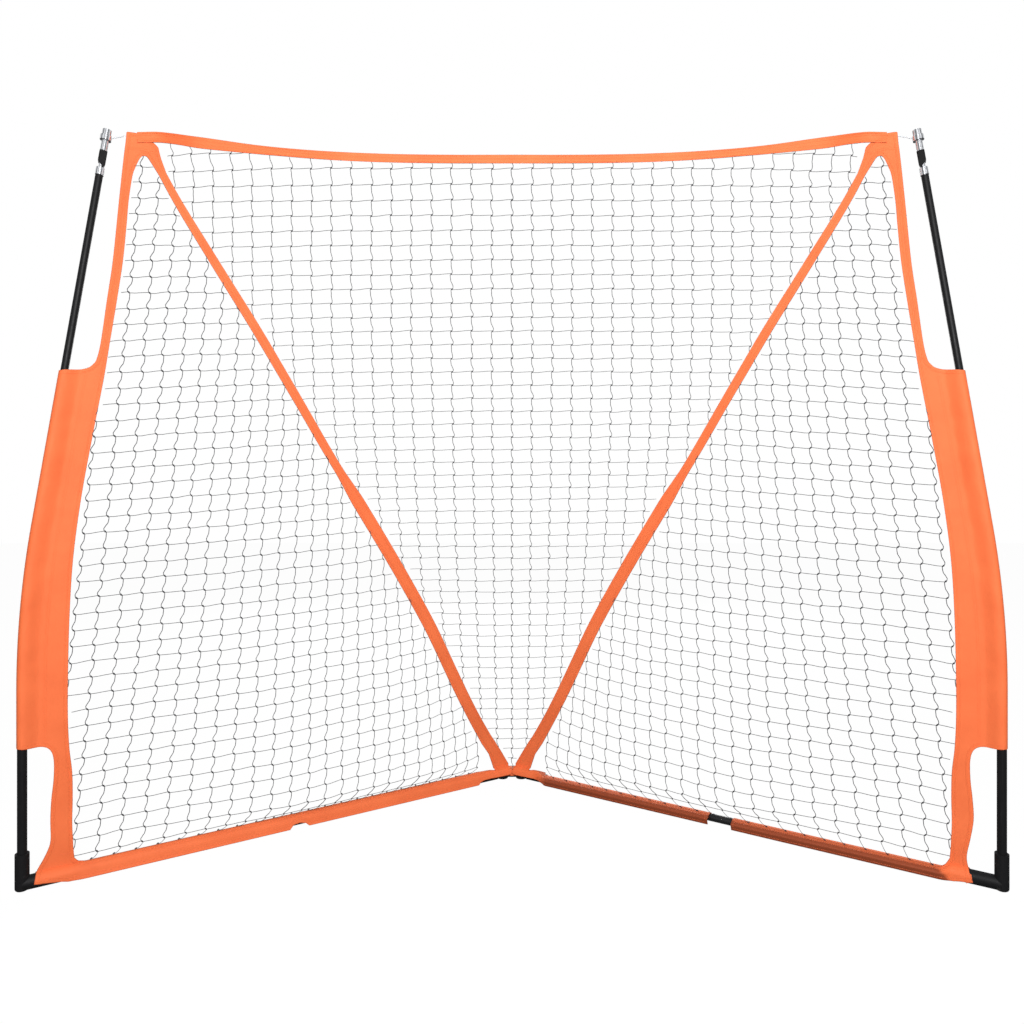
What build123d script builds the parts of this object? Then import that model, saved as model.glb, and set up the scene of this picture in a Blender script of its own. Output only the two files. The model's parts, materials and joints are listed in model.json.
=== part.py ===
"""Portable six-foot ball-sport goal: bowed poles, folding V base, fabric-edged net panels.

Frame: millimetres, +Z up, the mouth faces -Y, X runs across the mouth.
The origin lies on the ground at the centre of the footprint's box.

Each side of the goal is one flat frame that stands in the vertical plane of its base leg.
A side is modelled in its own leg frame: x runs along the leg from the corner to the rear,
y points outward and z up. The left side is turned and moved into place, and the right side
is its mirror image.
"""
import os
from math import atan2, cos, degrees, hypot, radians, sin, sqrt

from build123d import *

# Footprint
HALF_WIDTH = 1125.0         # mouth centre to pole axis on the ground
DEPTH = 700.0               # pole axis back to the point where the two legs meet
LEG_LENGTH = hypot(HALF_WIDTH, DEPTH)
LEG_ANGLE = degrees(atan2(DEPTH, HALF_WIDTH))
BOOT_RADIUS = 15.0
HUB_REAR = 18.0             # how far the hub reaches behind the meeting point
MOUTH_Y = -(DEPTH + HUB_REAR - BOOT_RADIUS) / 2

# Pole: upright, then bowed back, then straight to its tip
LOWER_POLE_RADIUS = 10.2    # the section below the first joint is thicker
LOWER_POLE_BORE = 7.0
POLE_RADIUS = 8.5
POLE_BORE = 6.0
BOW_START = 455.0
BOW_END = 840.0
BOW_ANGLE = 8.75
BOW_RADIUS = (BOW_END - BOW_START) / sin(radians(BOW_ANGLE))
POLE_FOOT = 10.0
POLE_JOINTS = (600.0, 1150.0)
POLE_PLUG = 45.0            # how far the middle section runs down into the lower one
POLE_TOP = 1686.0
FERRULE_RADIUS = 10.0
FERRULE_LENGTH = 70.0
FIT_GAP = 0.05              # radial gap between a rod and the hole that holds it

# Fittings above the pole, as heights on the pole's line
TIP_FERRULE = (1673.0, 1691.0)
TIP_CLIP = (1691.4, 1733.0)
TIP_CLIP_HALF = 8.5
TIP_CLIP_DEPTH = 15.0
TIP_COLLAR = (1759.0, 1771.0)
TIP_TOP = 1785.0
TIP_CORE_RADIUS = 5.0
TIP_TUBE_RADIUS = 8.0
TIP_HEAD_RADIUS = 10.0
TIP_COLLAR_RADIUS = 12.5

# Base leg
TUBE_RADIUS = 10.0
TUBE_BORE = 8.6
TUBE_HEIGHT = 12.5          # leg axis above the ground
SOCKET_RADIUS = 16.0        # boot's arm round the tube
SOCKET_HEIGHT = 15.0
BOOT_HEIGHT = 84.0
BOOT_ARM = 86.0
TUBE_START = 22.0
TUBE_SPLIT = 650.0
COUPLER_HALF = 70.0
COUPLER_RADIUS = 8.5
COUPLER_BORE = 7.0

# Snap button in the leg's plug joint
BUTTON_S = 634.0
BUTTON_RADIUS = 3.5
BUTTON_ROOT = 3.8           # inner end, from the tube's axis
BUTTON_TOP = 13.5
BUTTON_FLANGE = (4.5, 1.4)  # radius and thickness
SPRING_TAIL = 9.0
SPRING_REACH = 40.0
SPRING_LOW = -5.4           # lower leaf, from the tube's axis
SPRING_THICKNESS = 0.6
SPRING_WIDTH = 6.0

# Rivets that hold the leg's tubes
RIVET_PLACES = (60.0, 1230.0)
RIVET_RADIUS = 2.5
RIVET_HEAD = (4.5, 1.6)     # radius and height

# Rear hub
PIN_S = 1290.0              # hinge pin's place along the leg
PIN_RADIUS = 4.0
EYE_RADIUS = 15.0
EYE_Z = (6.5, 18.5)
HUB_ARM_START = 1200.0
HUB_ARM_END = 1268.0
HUB_SOCKET_RADIUS = 13.5
HUB_FRONT = 3.0             # plates' straight front edge, behind the pins
TUBE_END = 1245.0
HUB_PLATE_RADIUS = 17.0
HUB_LOWER = 6.0             # lower plate's top face
HUB_UPPER = (19.0, 24.0)    # upper plate's two faces
NUT_FLATS = 13.0
NUT_HEIGHT = 3.2
BOLT_HEAD_RADIUS = 7.0
BOLT_HEAD_HEIGHT = 3.4

# Fabric
FABRIC = 2.0                # thickness of a doubled, sewn strip
NET = 1.0                   # thickness of the plate that stands for a net
SLEEVE_OUTER = 12.5
SLEEVE_INNER = 10.5
SLEEVE_Z = (323.0, 1203.0)
STRIP_INNER = 84.0          # post strip's inner edge, from the pole's axis
STRIP_INNER_LOW = 100.0     # the same, near the ground
STRIP_WIDTH_UP = 24.0
STRIP_WIDTH_LOW = 42.0
STRIP_TOP = 1722.0
STRIP_FOOT = 36.0
CORNER_S = 217.0            # top outer corner of the fabric
CORNER_Z = 1787.0
DIAGONAL = ((268.0, 1712.0), (545.0, 1311.0), (805.0, 882.0), (1091.0, 394.0), (1283.0, 50.0))
DIAGONAL_WIDTHS = (23.0, 38.0)
RAIL_HEIGHT = 19.0
RAIL_SAG = 47.0
RAIL_BACK = 20.0            # how far the rail's middle is drawn back by the net
SHELL_INNER = 10.7          # base strip wrapped over the tube
SHELL_OUTER = 12.7
BASE_STRIP_FRONT = (108.0, 618.0)
BASE_STRIP_REAR = (682.0, 1190.0)
BASE_STRIP_SKIRT = 38.0     # strip's height above the ground

LEG_SIN = DEPTH / LEG_LENGTH
LEG_COS = HALF_WIDTH / LEG_LENGTH


def place_left(shape):
    """Move a shape from the leg frame to the goal's left side."""
    return Pos(-HALF_WIDTH, MOUTH_Y, 0) * Rot(0, 0, LEG_ANGLE) * shape


def goal_point(s, z, out=0.0):
    """The left leg frame's point (s, z) in the goal's frame, as x, y, z."""
    x = -HALF_WIDTH + s * LEG_COS - out * LEG_SIN
    y = MOUTH_Y + s * LEG_SIN + out * LEG_COS
    return (x, y, z)


def save(name, shape):
    """Write one node."""
    shape.label = name
    export_step(shape, f"parts/{name}.step")


def save_pair(name, shape):
    """Write a side's node on the left, and its mirror image on the right."""
    left = place_left(shape)
    save(f"left_{name}", left)
    save(f"right_{name}", mirror(left, about=Plane.YZ))


# ---------------------------------------------------------------- helpers

def pole_s(z):
    """How far the pole's axis has moved back along the leg at height z."""
    if z <= BOW_START:
        return 0.0
    if z <= BOW_END:
        return BOW_RADIUS - sqrt(BOW_RADIUS ** 2 - (z - BOW_START) ** 2)
    bow = BOW_RADIUS * (1 - cos(radians(BOW_ANGLE)))
    return bow + (z - BOW_END) * sin(radians(BOW_ANGLE)) / cos(radians(BOW_ANGLE))


def pole_point(z):
    return Vector(pole_s(z), 0, z)


def pole_path(z0, z1):
    """The pole's line between two heights, as a wire in the leg's plane."""
    edges = []
    if z0 < BOW_START:
        edges.append(Edge.make_line(pole_point(z0), pole_point(min(z1, BOW_START))))
    low = max(z0, BOW_START)
    high = min(z1, BOW_END)
    if high > low:
        middle = pole_point((low + high) / 2)
        edges.append(Edge.make_three_point_arc(pole_point(low), middle, pole_point(high)))
    if z1 > BOW_END:
        edges.append(Edge.make_line(pole_point(max(z0, BOW_END)), pole_point(z1)))
    return Wire(edges)


def along_pole(z0, z1, outer, inner=0.0):
    """A round bar or tube that follows the pole's line."""
    path = pole_path(z0, z1)
    plane = Plane(origin=path @ 0, z_dir=path % 0)
    section = plane * Circle(outer)
    if inner:
        section -= plane * Circle(inner)
    return sweep(section, path=path)


def rod(start, end, radius, z=TUBE_HEIGHT):
    """A round bar along the leg, between two distances from the corner."""
    plane = Plane(origin=(start, 0, z), z_dir=(1, 0, 0))
    return extrude(plane * Circle(radius), amount=end - start)


def tube(start, end, outer, inner, z=TUBE_HEIGHT):
    return rod(start, end, outer, z) - rod(start - 1, end + 1, inner, z)


def pillar(x, y, z0, z1, radius):
    """An upright round bar."""
    return Pos(x, y, z0) * extrude(Circle(radius), amount=z1 - z0)


def across(s, y0, y1, radius, z=TUBE_HEIGHT):
    """A round bar that points outward across the leg, from y0 to y1."""
    plane = Plane(origin=(s, y0, z), z_dir=(0, 1, 0))
    return extrude(plane * Circle(radius), amount=y1 - y0)


def panel(points, thickness):
    """A flat plate in the leg's plane from its (s, z) corners."""
    face = Plane.XZ * make_face(Polyline(*points, close=True))
    return extrude(face, amount=thickness / 2, both=True)


def ribbon(line, widths):
    """Corner points of a strip of changing width about a line of (s, z) points."""
    left = []
    right = []
    count = len(line)
    for i, (s, z) in enumerate(line):
        before = line[max(i - 1, 0)]
        after = line[min(i + 1, count - 1)]
        length = hypot(after[0] - before[0], after[1] - before[1])
        across_s = -(after[1] - before[1]) / length
        across_z = (after[0] - before[0]) / length
        half = widths[i] / 2
        left.append((s + across_s * half, z + across_z * half))
        right.append((s - across_s * half, z - across_z * half))
    return left + right[::-1]


# ---------------------------------------------------------------- poles and tip fittings

def pole_lower():
    """Thick lower section, bored out at its top for the middle section's end."""
    top = POLE_JOINTS[0]
    section = along_pole(POLE_FOOT + 0.2, top, LOWER_POLE_RADIUS, LOWER_POLE_BORE)
    return section - along_pole(top - POLE_PLUG - 0.2, top + 1, POLE_RADIUS + FIT_GAP)


def pole_middle():
    return along_pole(POLE_JOINTS[0] - POLE_PLUG, POLE_JOINTS[1] - 0.1, POLE_RADIUS, POLE_BORE)


def pole_upper():
    return along_pole(POLE_JOINTS[1] + 0.1, POLE_TOP, POLE_RADIUS, POLE_BORE)


def pole_ferrule():
    """Metal sleeve over the joint of the middle and the upper section."""
    half = FERRULE_LENGTH / 2
    middle = POLE_JOINTS[1]
    return along_pole(middle - half, middle + half, FERRULE_RADIUS, POLE_RADIUS + FIT_GAP)


def tip_ferrule():
    low, high = TIP_FERRULE
    cup = along_pole(low, high, POLE_RADIUS + 1.0)
    cup -= along_pole(low - 1, POLE_TOP + 0.2, POLE_RADIUS + FIT_GAP)
    cup -= along_pole(low, high + 1, TIP_CORE_RADIUS + FIT_GAP)
    return cup


def tip_clip():
    """Wedge-shaped clamp whose lower end runs to a point on the side of the net."""
    low, high = TIP_CLIP
    length = high - low
    half = TIP_CLIP_HALF
    outline = [
        (-half, length), (half, length), (half, 9.0), (5.5, 0.0), (-half + 2, 13.0), (-half, 19.0),
    ]
    face = Plane.XZ * make_face(Polyline(*outline, close=True))
    body = extrude(face, amount=TIP_CLIP_DEPTH / 2, both=True)
    body = chamfer(body.edges().filter_by(Axis.Z), 2.0)
    body = Pos(pole_s(low), 0, low) * Rot(0, BOW_ANGLE, 0) * body
    return body - along_pole(low - 12, high + 2, TIP_CORE_RADIUS + FIT_GAP)


def tip_tube():
    """Stepped metal end: a core in the clamp, a tube above it and a wider head."""
    core = along_pole(TIP_FERRULE[0] + 14.0, TIP_CLIP[1] + 0.2, TIP_CORE_RADIUS)
    stem = along_pole(TIP_CLIP[1] + 0.2, TIP_COLLAR[1] + 1, TIP_TUBE_RADIUS)
    head = along_pole(TIP_COLLAR[1] + 0.2, TIP_TOP, TIP_HEAD_RADIUS)
    hollow = along_pole(TIP_COLLAR[0], TIP_TOP + 1, TIP_TUBE_RADIUS - 2.0)
    return core + stem + head - hollow


def tip_collar():
    return along_pole(TIP_COLLAR[0], TIP_COLLAR[1], TIP_COLLAR_RADIUS, TIP_TUBE_RADIUS + FIT_GAP)


def tip_cord():
    """Short cord that ties the fabric's corner to the pole's end."""
    z = (TIP_COLLAR[0] + TIP_COLLAR[1]) / 2
    start = Vector(pole_s(z) + TIP_COLLAR_RADIUS + 1.0, 0, z + 2)
    end = Vector(CORNER_S - 2.0, 0, CORNER_Z - 7.0)
    direction = end - start
    plane = Plane(origin=start, z_dir=direction)
    return extrude(plane * Circle(1.2), amount=direction.length)


# ---------------------------------------------------------------- boots, base leg and button

def boot():
    """L-shaped corner boot: an upright socket for the pole and a level one for the leg."""
    upright = pillar(0, 0, 0, BOOT_HEIGHT, BOOT_RADIUS)
    upright = fillet(upright.edges().sort_by(Axis.Z)[0], 6.0)
    arm = rod(0, BOOT_ARM, SOCKET_RADIUS, SOCKET_HEIGHT)
    arm = arm - Pos(BOOT_ARM / 2, 0, -25) * Box(2 * BOOT_ARM, 60, 50)
    heel = arm & (pillar(0, 0, 0, 40, BOOT_RADIUS) + Pos(60, 0, 20) * Box(120, 40, 60))
    shape = upright + heel
    shape -= pillar(0, 0, POLE_FOOT, BOOT_HEIGHT + 1, LOWER_POLE_RADIUS + FIT_GAP)
    shape -= rod(TUBE_START, BOOT_ARM + 1, TUBE_RADIUS + FIT_GAP)
    return shape - rivet_hole(RIVET_PLACES[0])


def rivet_hole(s):
    return across(s, 0, SOCKET_RADIUS + 4, RIVET_RADIUS)


def front_tube():
    shape = tube(TUBE_START + 0.5, TUBE_SPLIT - 0.2, TUBE_RADIUS, TUBE_BORE)
    shape -= across(BUTTON_S, 0, TUBE_RADIUS + 4, BUTTON_RADIUS + FIT_GAP)
    return shape - rivet_hole(RIVET_PLACES[0])


def rear_tube():
    shape = tube(TUBE_SPLIT + 0.2, TUBE_END, TUBE_RADIUS, TUBE_BORE)
    return shape - rivet_hole(RIVET_PLACES[1])


def leg_coupler():
    """Inner tube that joins the leg's two halves."""
    shape = tube(TUBE_SPLIT - COUPLER_HALF, TUBE_SPLIT + COUPLER_HALF, COUPLER_RADIUS, COUPLER_BORE)
    return shape - across(BUTTON_S, 0, TUBE_RADIUS + 4, BUTTON_RADIUS + FIT_GAP)


def snap_button():
    """Domed button on the leg's outer side, with the flange that keeps it in the tube."""
    stem = across(BUTTON_S, BUTTON_ROOT, BUTTON_TOP, BUTTON_RADIUS)
    stem = fillet(stem.edges().sort_by(Axis.Y)[-1], 1.6)
    radius, thickness = BUTTON_FLANGE
    return stem + across(BUTTON_S, BUTTON_ROOT, BUTTON_ROOT + thickness, radius)


def button_spring():
    """Leaf spring folded back on itself inside the coupler."""
    top = BUTTON_ROOT - 0.1 - SPRING_THICKNESS / 2
    low = SPRING_LOW
    turn = BUTTON_S + SPRING_REACH
    radius = (top - low) / 2
    points = Line((BUTTON_S - SPRING_TAIL, top), (turn, top))
    points += ThreePointArc((turn, top), (turn + radius, top - radius), (turn, low))
    points += Line((turn, low), (BUTTON_S - SPRING_TAIL, low))
    strip = trace(points, line_width=SPRING_THICKNESS)
    return Pos(0, 0, TUBE_HEIGHT) * extrude(strip, amount=SPRING_WIDTH / 2, both=True)


def leg_rivets():
    """Blind rivets that hold the leg's tubes in the boot and in the hub arm."""
    rivets = []
    radius, height = RIVET_HEAD
    for s, socket in zip(RIVET_PLACES, (SOCKET_RADIUS, HUB_SOCKET_RADIUS)):
        seat = socket + 0.1
        shank = across(s, TUBE_BORE - 1.5, seat, RIVET_RADIUS - FIT_GAP)
        head = across(s, seat, seat + height, radius)
        head = fillet(head.edges().sort_by(Axis.Y)[-1], 1.2)
        rivets.append(shank + head)
    return Compound(children=rivets)


# ---------------------------------------------------------------- rear hub

def hub_arm():
    """Socket for the leg's rear end, with a flat eye that turns on the hub's pin."""
    socket = rod(HUB_ARM_START, HUB_ARM_END, HUB_SOCKET_RADIUS)
    socket -= rod(HUB_ARM_START - 1, TUBE_END + 0.5, TUBE_RADIUS + FIT_GAP)
    low, high = EYE_Z
    neck_middle = (HUB_ARM_END - 4 + PIN_S) / 2
    neck = Box(PIN_S - HUB_ARM_END + 4, 20, high - low)
    eye = pillar(PIN_S, 0, low, high, EYE_RADIUS)
    shape = socket + Pos(neck_middle, 0, (low + high) / 2) * neck + eye
    shape -= Pos(HUB_ARM_END, 0, -25) * Box(300, 60, 50)
    shape -= pillar(PIN_S, 0, 0, 40, PIN_RADIUS + FIT_GAP)
    return shape - rivet_hole(RIVET_PLACES[1])


def pin_places():
    x, y, _ = goal_point(PIN_S, 0)
    return ((x, y), (-x, y))


def rear_hub():
    """Moulded yoke: two plates joined at the back, with the arms' eyes between them."""
    (x, y), _ = pin_places()
    rear = MOUTH_Y + DEPTH + HUB_REAR
    outline = Pos(x, y) * Circle(HUB_PLATE_RADIUS) + Pos(-x, y) * Circle(HUB_PLATE_RADIUS)
    depth = rear - (y + HUB_FRONT)
    outline += Pos(0, rear - depth / 2) * Rectangle(2 * -x, depth)
    web_start = y + EYE_RADIUS + 1.0
    back = Pos(0, (rear + web_start) / 2) * Rectangle(2 * -x + 20, rear - web_start)
    block = extrude(outline + back, amount=HUB_UPPER[1])
    block = fillet(block.edges().group_by(Axis.Z)[-1], 2.0)
    slot_depth = web_start - (y - 60)
    slot_height = HUB_UPPER[0] - HUB_LOWER
    slot = Box(200, slot_depth, slot_height)
    block -= Pos(0, web_start - slot_depth / 2, HUB_LOWER + slot_height / 2) * slot
    for px, py in pin_places():
        block -= pillar(px, py, -1, 40, PIN_RADIUS + FIT_GAP)
        pocket = RegularPolygon(NUT_FLATS / 2 + 0.3, 6, major_radius=False)
        block -= Pos(px, py, -1) * extrude(pocket, amount=NUT_HEIGHT + 1.6)
    return block


def hub_pins():
    """Two shouldered bolts that the legs fold on."""
    bolts = []
    for px, py in pin_places():
        base = HUB_UPPER[1] + 0.1
        shank = pillar(px, py, 0.4, base + 0.4, PIN_RADIUS)
        head = pillar(px, py, base, base + BOLT_HEAD_HEIGHT, BOLT_HEAD_RADIUS)
        head = fillet(head.edges().sort_by(Axis.Z)[-1], 1.8)
        head -= Pos(px, py, base + 1.6) * extrude(RegularPolygon(2.5, 6), amount=4)
        bolts.append(shank + head)
    return Compound(children=bolts)


def hub_nuts():
    nuts = []
    for px, py in pin_places():
        nut = extrude(RegularPolygon(NUT_FLATS / 2, 6, major_radius=False), amount=NUT_HEIGHT)
        nuts.append(Pos(px, py, 0.5) * nut - pillar(px, py, 0, 5, PIN_RADIUS + FIT_GAP))
    return Compound(children=nuts)


# ---------------------------------------------------------------- fabric and nets

def strip_inner(z):
    """Inner edge of the post strip: parallel to the pole, wider near the ground."""
    wide_to, narrow_from, taper_from = 300.0, 470.0, 1500.0
    if z < wide_to:
        return STRIP_INNER_LOW
    if z < narrow_from:
        share = (z - wide_to) / (narrow_from - wide_to)
        return STRIP_INNER_LOW + (STRIP_INNER - STRIP_INNER_LOW) * share
    if z < taper_from:
        return pole_s(z) + STRIP_INNER
    return pole_s(z) + STRIP_INNER - 10.0 * (z - taper_from) / (STRIP_TOP - taper_from)


def post_strip():
    """Post strip of the mouth, with the sleeve that holds it on the pole."""
    low, high = SLEEVE_Z
    heights = [low, 390, BOW_START, 500, 580, 665, 750, BOW_END, 1000, high]
    shape = along_pole(low, high, SLEEVE_OUTER, SLEEVE_INNER)
    inner = [(strip_inner(z), z) for z in heights]
    outer = [(pole_s(z) + (SLEEVE_OUTER + SLEEVE_INNER) / 2, z) for z in heights]
    shape += panel(inner + outer[::-1], FABRIC)
    tops = [high - 0.5, 1300, 1400, 1500, 1600, STRIP_TOP]
    inner = [(strip_inner(z), z) for z in tops]
    outer = [(strip_inner(z) - STRIP_WIDTH_UP, z) for z in tops]
    shape += panel(inner + outer[::-1], FABRIC)
    edge = STRIP_INNER_LOW - STRIP_WIDTH_LOW
    flare = [(edge, low + 0.5), (edge, 120.0), (edge - 10, BOOT_HEIGHT), (edge - 34, STRIP_FOOT)]
    ends = [(STRIP_INNER_LOW, STRIP_FOOT), (STRIP_INNER_LOW, low + 0.5)]
    return shape + panel(flare + ends, FABRIC)


def corner_patch():
    """Doubled patch where the post strip, the top rail and the diagonal are sewn together."""
    gap = 0.6
    base = STRIP_TOP + gap
    inner = strip_inner(STRIP_TOP)
    points = [
        (inner - STRIP_WIDTH_UP, base), (inner - 4, base), (inner + 4, base + 12),
        (DIAGONAL[0][0] - 6, base + 4), (DIAGONAL[0][0] + 12, base), (CORNER_S + 28, CORNER_Z - 12),
        (CORNER_S, CORNER_Z),
    ]
    return panel(points, FABRIC)


def diagonal_line():
    curve = Spline(*[(s, z) for s, z in DIAGONAL])
    return [((curve @ t).X, (curve @ t).Y) for t in [i / 12 for i in range(13)]]


def diagonal_strip():
    """Strip along the sloping edge from the top corner down to the rear hub."""
    line = diagonal_line()
    narrow, wide = DIAGONAL_WIDTHS
    widths = [wide if z < 930 else narrow for _, z in line]
    return panel(ribbon(line, widths), FABRIC)


def side_net():
    """Plate that stands for a side net, between the post strip, the leg and the diagonal."""
    clear = 3.0
    line = diagonal_line()
    widths = [DIAGONAL_WIDTHS[1] + 2 * clear for _ in line]
    sloping = ribbon(line, widths)[len(line):]
    foot = BASE_STRIP_SKIRT + clear
    sloping = [point for point in sloping if point[1] > foot + 40]
    heights = [foot, 300, BOW_START, 665, BOW_END, 1000, 1200, 1400, 1560, STRIP_TOP - 35]
    post = [(strip_inner(z) + clear, z) for z in heights]
    return panel(post + sloping[::-1] + [(sloping[0][0] + 8, foot)], NET)


def base_strip(span):
    """Strip folded over the leg's tube, with a low skirt that carries the net's edge."""
    start, end = span
    shell = tube(start, end, SHELL_OUTER, SHELL_INNER)
    upper = Pos((start + end) / 2, 0, TUBE_HEIGHT + 25) * Box(end - start + 10, 60, 50)
    shell &= upper
    crest = TUBE_HEIGHT + SHELL_OUTER - 1.0
    skirt = Box(end - start, FABRIC, BASE_STRIP_SKIRT - crest)
    return shell + Pos((start + end) / 2, 0, (BASE_STRIP_SKIRT + crest) / 2) * skirt


def sheet(points, thickness):
    """A flat three-cornered plate in the goal's frame."""
    a, b, c = (Vector(*p) for p in points)
    normal = (b - a).cross(c - a).normalized()
    face = Face(Wire.make_polygon([a, b, c], close=True))
    return extrude(face, amount=thickness / 2, dir=normal, both=True)


def rail_end():
    """Where the top rail leaves the corner patch, in the goal's frame."""
    x, y, _ = goal_point(CORNER_S + 28, 0)
    return (x + 6.0, y, CORNER_Z - 12)


def top_rail():
    """Left half of the top strip: it hangs in a shallow curve and is drawn back a little."""
    x0, y0, z0 = rail_end()
    y1 = goal_point(CORNER_S, 0)[1] + RAIL_BACK
    top = CORNER_Z - RAIL_SAG
    length = hypot(x0, y1 - y0)
    turn = degrees(atan2(y1 - y0, -x0))
    upper = Spline((0, z0), (length * 0.45, z0 - 26), (length - 0.5, top))
    lower = Spline((length - 0.5, top - RAIL_HEIGHT), (length * 0.45, z0 - 26 - RAIL_HEIGHT),
                   (0, z0 - RAIL_HEIGHT))
    ends = Line(upper @ 1, lower @ 0) + Line(lower @ 1, upper @ 0)
    face = Plane.XZ * make_face(upper + lower + ends)
    plate = extrude(face, amount=FABRIC / 2, both=True)
    return Pos(x0, y0, 0) * Rot(0, 0, turn) * plate


def back_net():
    """Plate that stands for the left half of the back net, from the top rail to the hub."""
    y1 = goal_point(CORNER_S, 0)[1] + RAIL_BACK
    middle_top = (-1.0, y1 + 1.5, CORNER_Z - RAIL_SAG - RAIL_HEIGHT - 6)
    outer_top = goal_point(DIAGONAL[0][0] + 66, DIAGONAL[0][1] - 20)
    bottom_z = DIAGONAL[-1][1] + 45
    bottom_y = MOUTH_Y + DEPTH - 14
    outer = (outer_top[0], outer_top[1], outer_top[2] - 6)
    return sheet([middle_top, outer, (-1.0, bottom_y, bottom_z)], NET)


def apex_patch():
    """Fabric tab on the hub's upper plate, between the bolt heads, where the back net ends."""
    (x, y), _ = pin_places()
    half = -x - BOLT_HEAD_RADIUS - 3.0
    face = Pos(0, y + 18.0) * Rectangle(2 * half, 28.0)
    return Pos(0, 0, HUB_UPPER[1] + 0.5) * extrude(face, amount=FABRIC)


# ---------------------------------------------------------------- the goal

def main():
    os.makedirs("parts", exist_ok=True)
    save_pair("corner_boot", boot())
    save_pair("pole_lower", pole_lower())
    save_pair("pole_middle", pole_middle())
    save_pair("pole_upper", pole_upper())
    save_pair("pole_ferrule", pole_ferrule())
    save_pair("tip_ferrule", tip_ferrule())
    save_pair("tip_clip", tip_clip())
    save_pair("tip_tube", tip_tube())
    save_pair("tip_collar", tip_collar())
    save_pair("tip_cord", tip_cord())
    save_pair("front_tube", front_tube())
    save_pair("rear_tube", rear_tube())
    save_pair("leg_coupler", leg_coupler())
    save_pair("snap_button", snap_button())
    save_pair("button_spring", button_spring())
    save_pair("leg_rivets", leg_rivets())
    save_pair("hub_arm", hub_arm())
    save("rear_hub", rear_hub())
    save("hub_pins", hub_pins())
    save("hub_nuts", hub_nuts())
    save_pair("post_strip", post_strip())
    save_pair("corner_patch", corner_patch())
    save_pair("diagonal_strip", diagonal_strip())
    save_pair("side_net", side_net())
    save_pair("base_strip_front", base_strip(BASE_STRIP_FRONT))
    save_pair("base_strip_rear", base_strip(BASE_STRIP_REAR))
    rail = top_rail()
    net = back_net()
    save("left_top_rail", rail)
    save("right_top_rail", mirror(rail, about=Plane.YZ))
    save("left_back_net", net)
    save("right_back_net", mirror(net, about=Plane.YZ))
    save("apex_patch", apex_patch())


main()
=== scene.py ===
"""Portable six-foot goal: the looks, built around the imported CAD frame.

Each side of the goal is a flat fabric frame with a net in it, standing on its base leg.
Side pieces are modelled in the left leg's frame, in millimetres: s runs along the leg from
the corner pole to the rear pin, out points away from the goal and z is up. goal() takes
them to the shared frame in metres, and mirrors them for the right side.
"""
import json
from math import cos, pi, radians, sin

import bpy
import numpy as np
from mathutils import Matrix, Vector

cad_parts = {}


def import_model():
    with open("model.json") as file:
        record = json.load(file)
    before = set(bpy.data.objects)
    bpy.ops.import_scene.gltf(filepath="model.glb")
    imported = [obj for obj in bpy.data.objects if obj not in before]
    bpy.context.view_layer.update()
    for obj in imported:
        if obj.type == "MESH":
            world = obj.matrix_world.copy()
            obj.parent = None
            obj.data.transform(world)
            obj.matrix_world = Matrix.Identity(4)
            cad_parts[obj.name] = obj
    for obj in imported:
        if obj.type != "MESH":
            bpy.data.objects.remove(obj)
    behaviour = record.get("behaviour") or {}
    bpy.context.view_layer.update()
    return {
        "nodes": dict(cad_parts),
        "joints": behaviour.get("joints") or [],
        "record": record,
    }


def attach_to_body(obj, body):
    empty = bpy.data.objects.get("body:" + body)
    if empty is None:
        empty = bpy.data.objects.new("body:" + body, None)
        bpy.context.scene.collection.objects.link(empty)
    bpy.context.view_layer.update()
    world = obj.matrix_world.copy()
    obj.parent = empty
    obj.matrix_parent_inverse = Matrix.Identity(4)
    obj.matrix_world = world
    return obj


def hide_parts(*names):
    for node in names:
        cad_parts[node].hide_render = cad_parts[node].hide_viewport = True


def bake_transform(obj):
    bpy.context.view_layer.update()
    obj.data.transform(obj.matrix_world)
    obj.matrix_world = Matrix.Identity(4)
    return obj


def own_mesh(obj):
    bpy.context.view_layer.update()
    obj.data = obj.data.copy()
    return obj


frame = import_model()
MM = 0.001

# ---------------------------------------------------------------- places from the frame

JOINTS = {joint["name"]: joint for joint in frame["joints"]}
MOUNTS = {mount["name"]: mount for mount in frame["record"]["mounts"]}
CORNER = np.array(MOUNTS["left_boot_sole"]["pos_m"], float)
PIN = np.array(JOINTS["left_leg_fold"]["pos_m"], float)
LEG = (PIN - CORNER)[:2] / np.linalg.norm((PIN - CORNER)[:2])
PIN_S = np.linalg.norm((PIN - CORNER)[:2]) / MM
HALF_WIDTH = -CORNER[0] / MM
MEETING_S = HALF_WIDTH / LEG[0]         # where the two legs' lines meet
SIDES = {"left": 1.0, "right": -1.0}

# Pole: upright, bowed back between two heights, then straight
BOW_START, BOW_END, BOW_ANGLE = 455.0, 840.0, radians(8.75)
BOW_RADIUS = (BOW_END - BOW_START) / sin(BOW_ANGLE)

# Fabric
CLOTH = 1.1                 # half the thickness of a doubled strip
SLEEVE_RADIUS = 11.6
SLEEVE_TAPER = 42.0         # from the pole's axis to where the two layers lie flat
SLEEVE_HALF_TURN = SLEEVE_RADIUS * pi / 2
SLEEVE_Z = (323.0, 1200.0)
CREST_Z = 34.0              # base strip's top edge
HUB_ZONE = 1200.0           # from here back both layers pass in front of the hub's arm
GRID = 3.0
HEM = 9.0
STITCH_INSET = 6.5
STITCH_PITCH = 4.6
STITCH_LENGTH = 3.2
STITCH_RADIUS = 0.42
POCKET_STEPS = 5
POCKET_DEPTH = 15.0
LINING_INSET = 0.9          # lining lies this far inside the cloth's faces
LINING_GAP = 0.15           # and at least this far from the middle of the sheet
LINING_EDGE = 2.0           # its distance from the hem, for the material
FABRIC_SHARP = 50.0         # a steeper fold than this, in degrees, shows as a hard edge

rng = np.random.RandomState(7)


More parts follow.
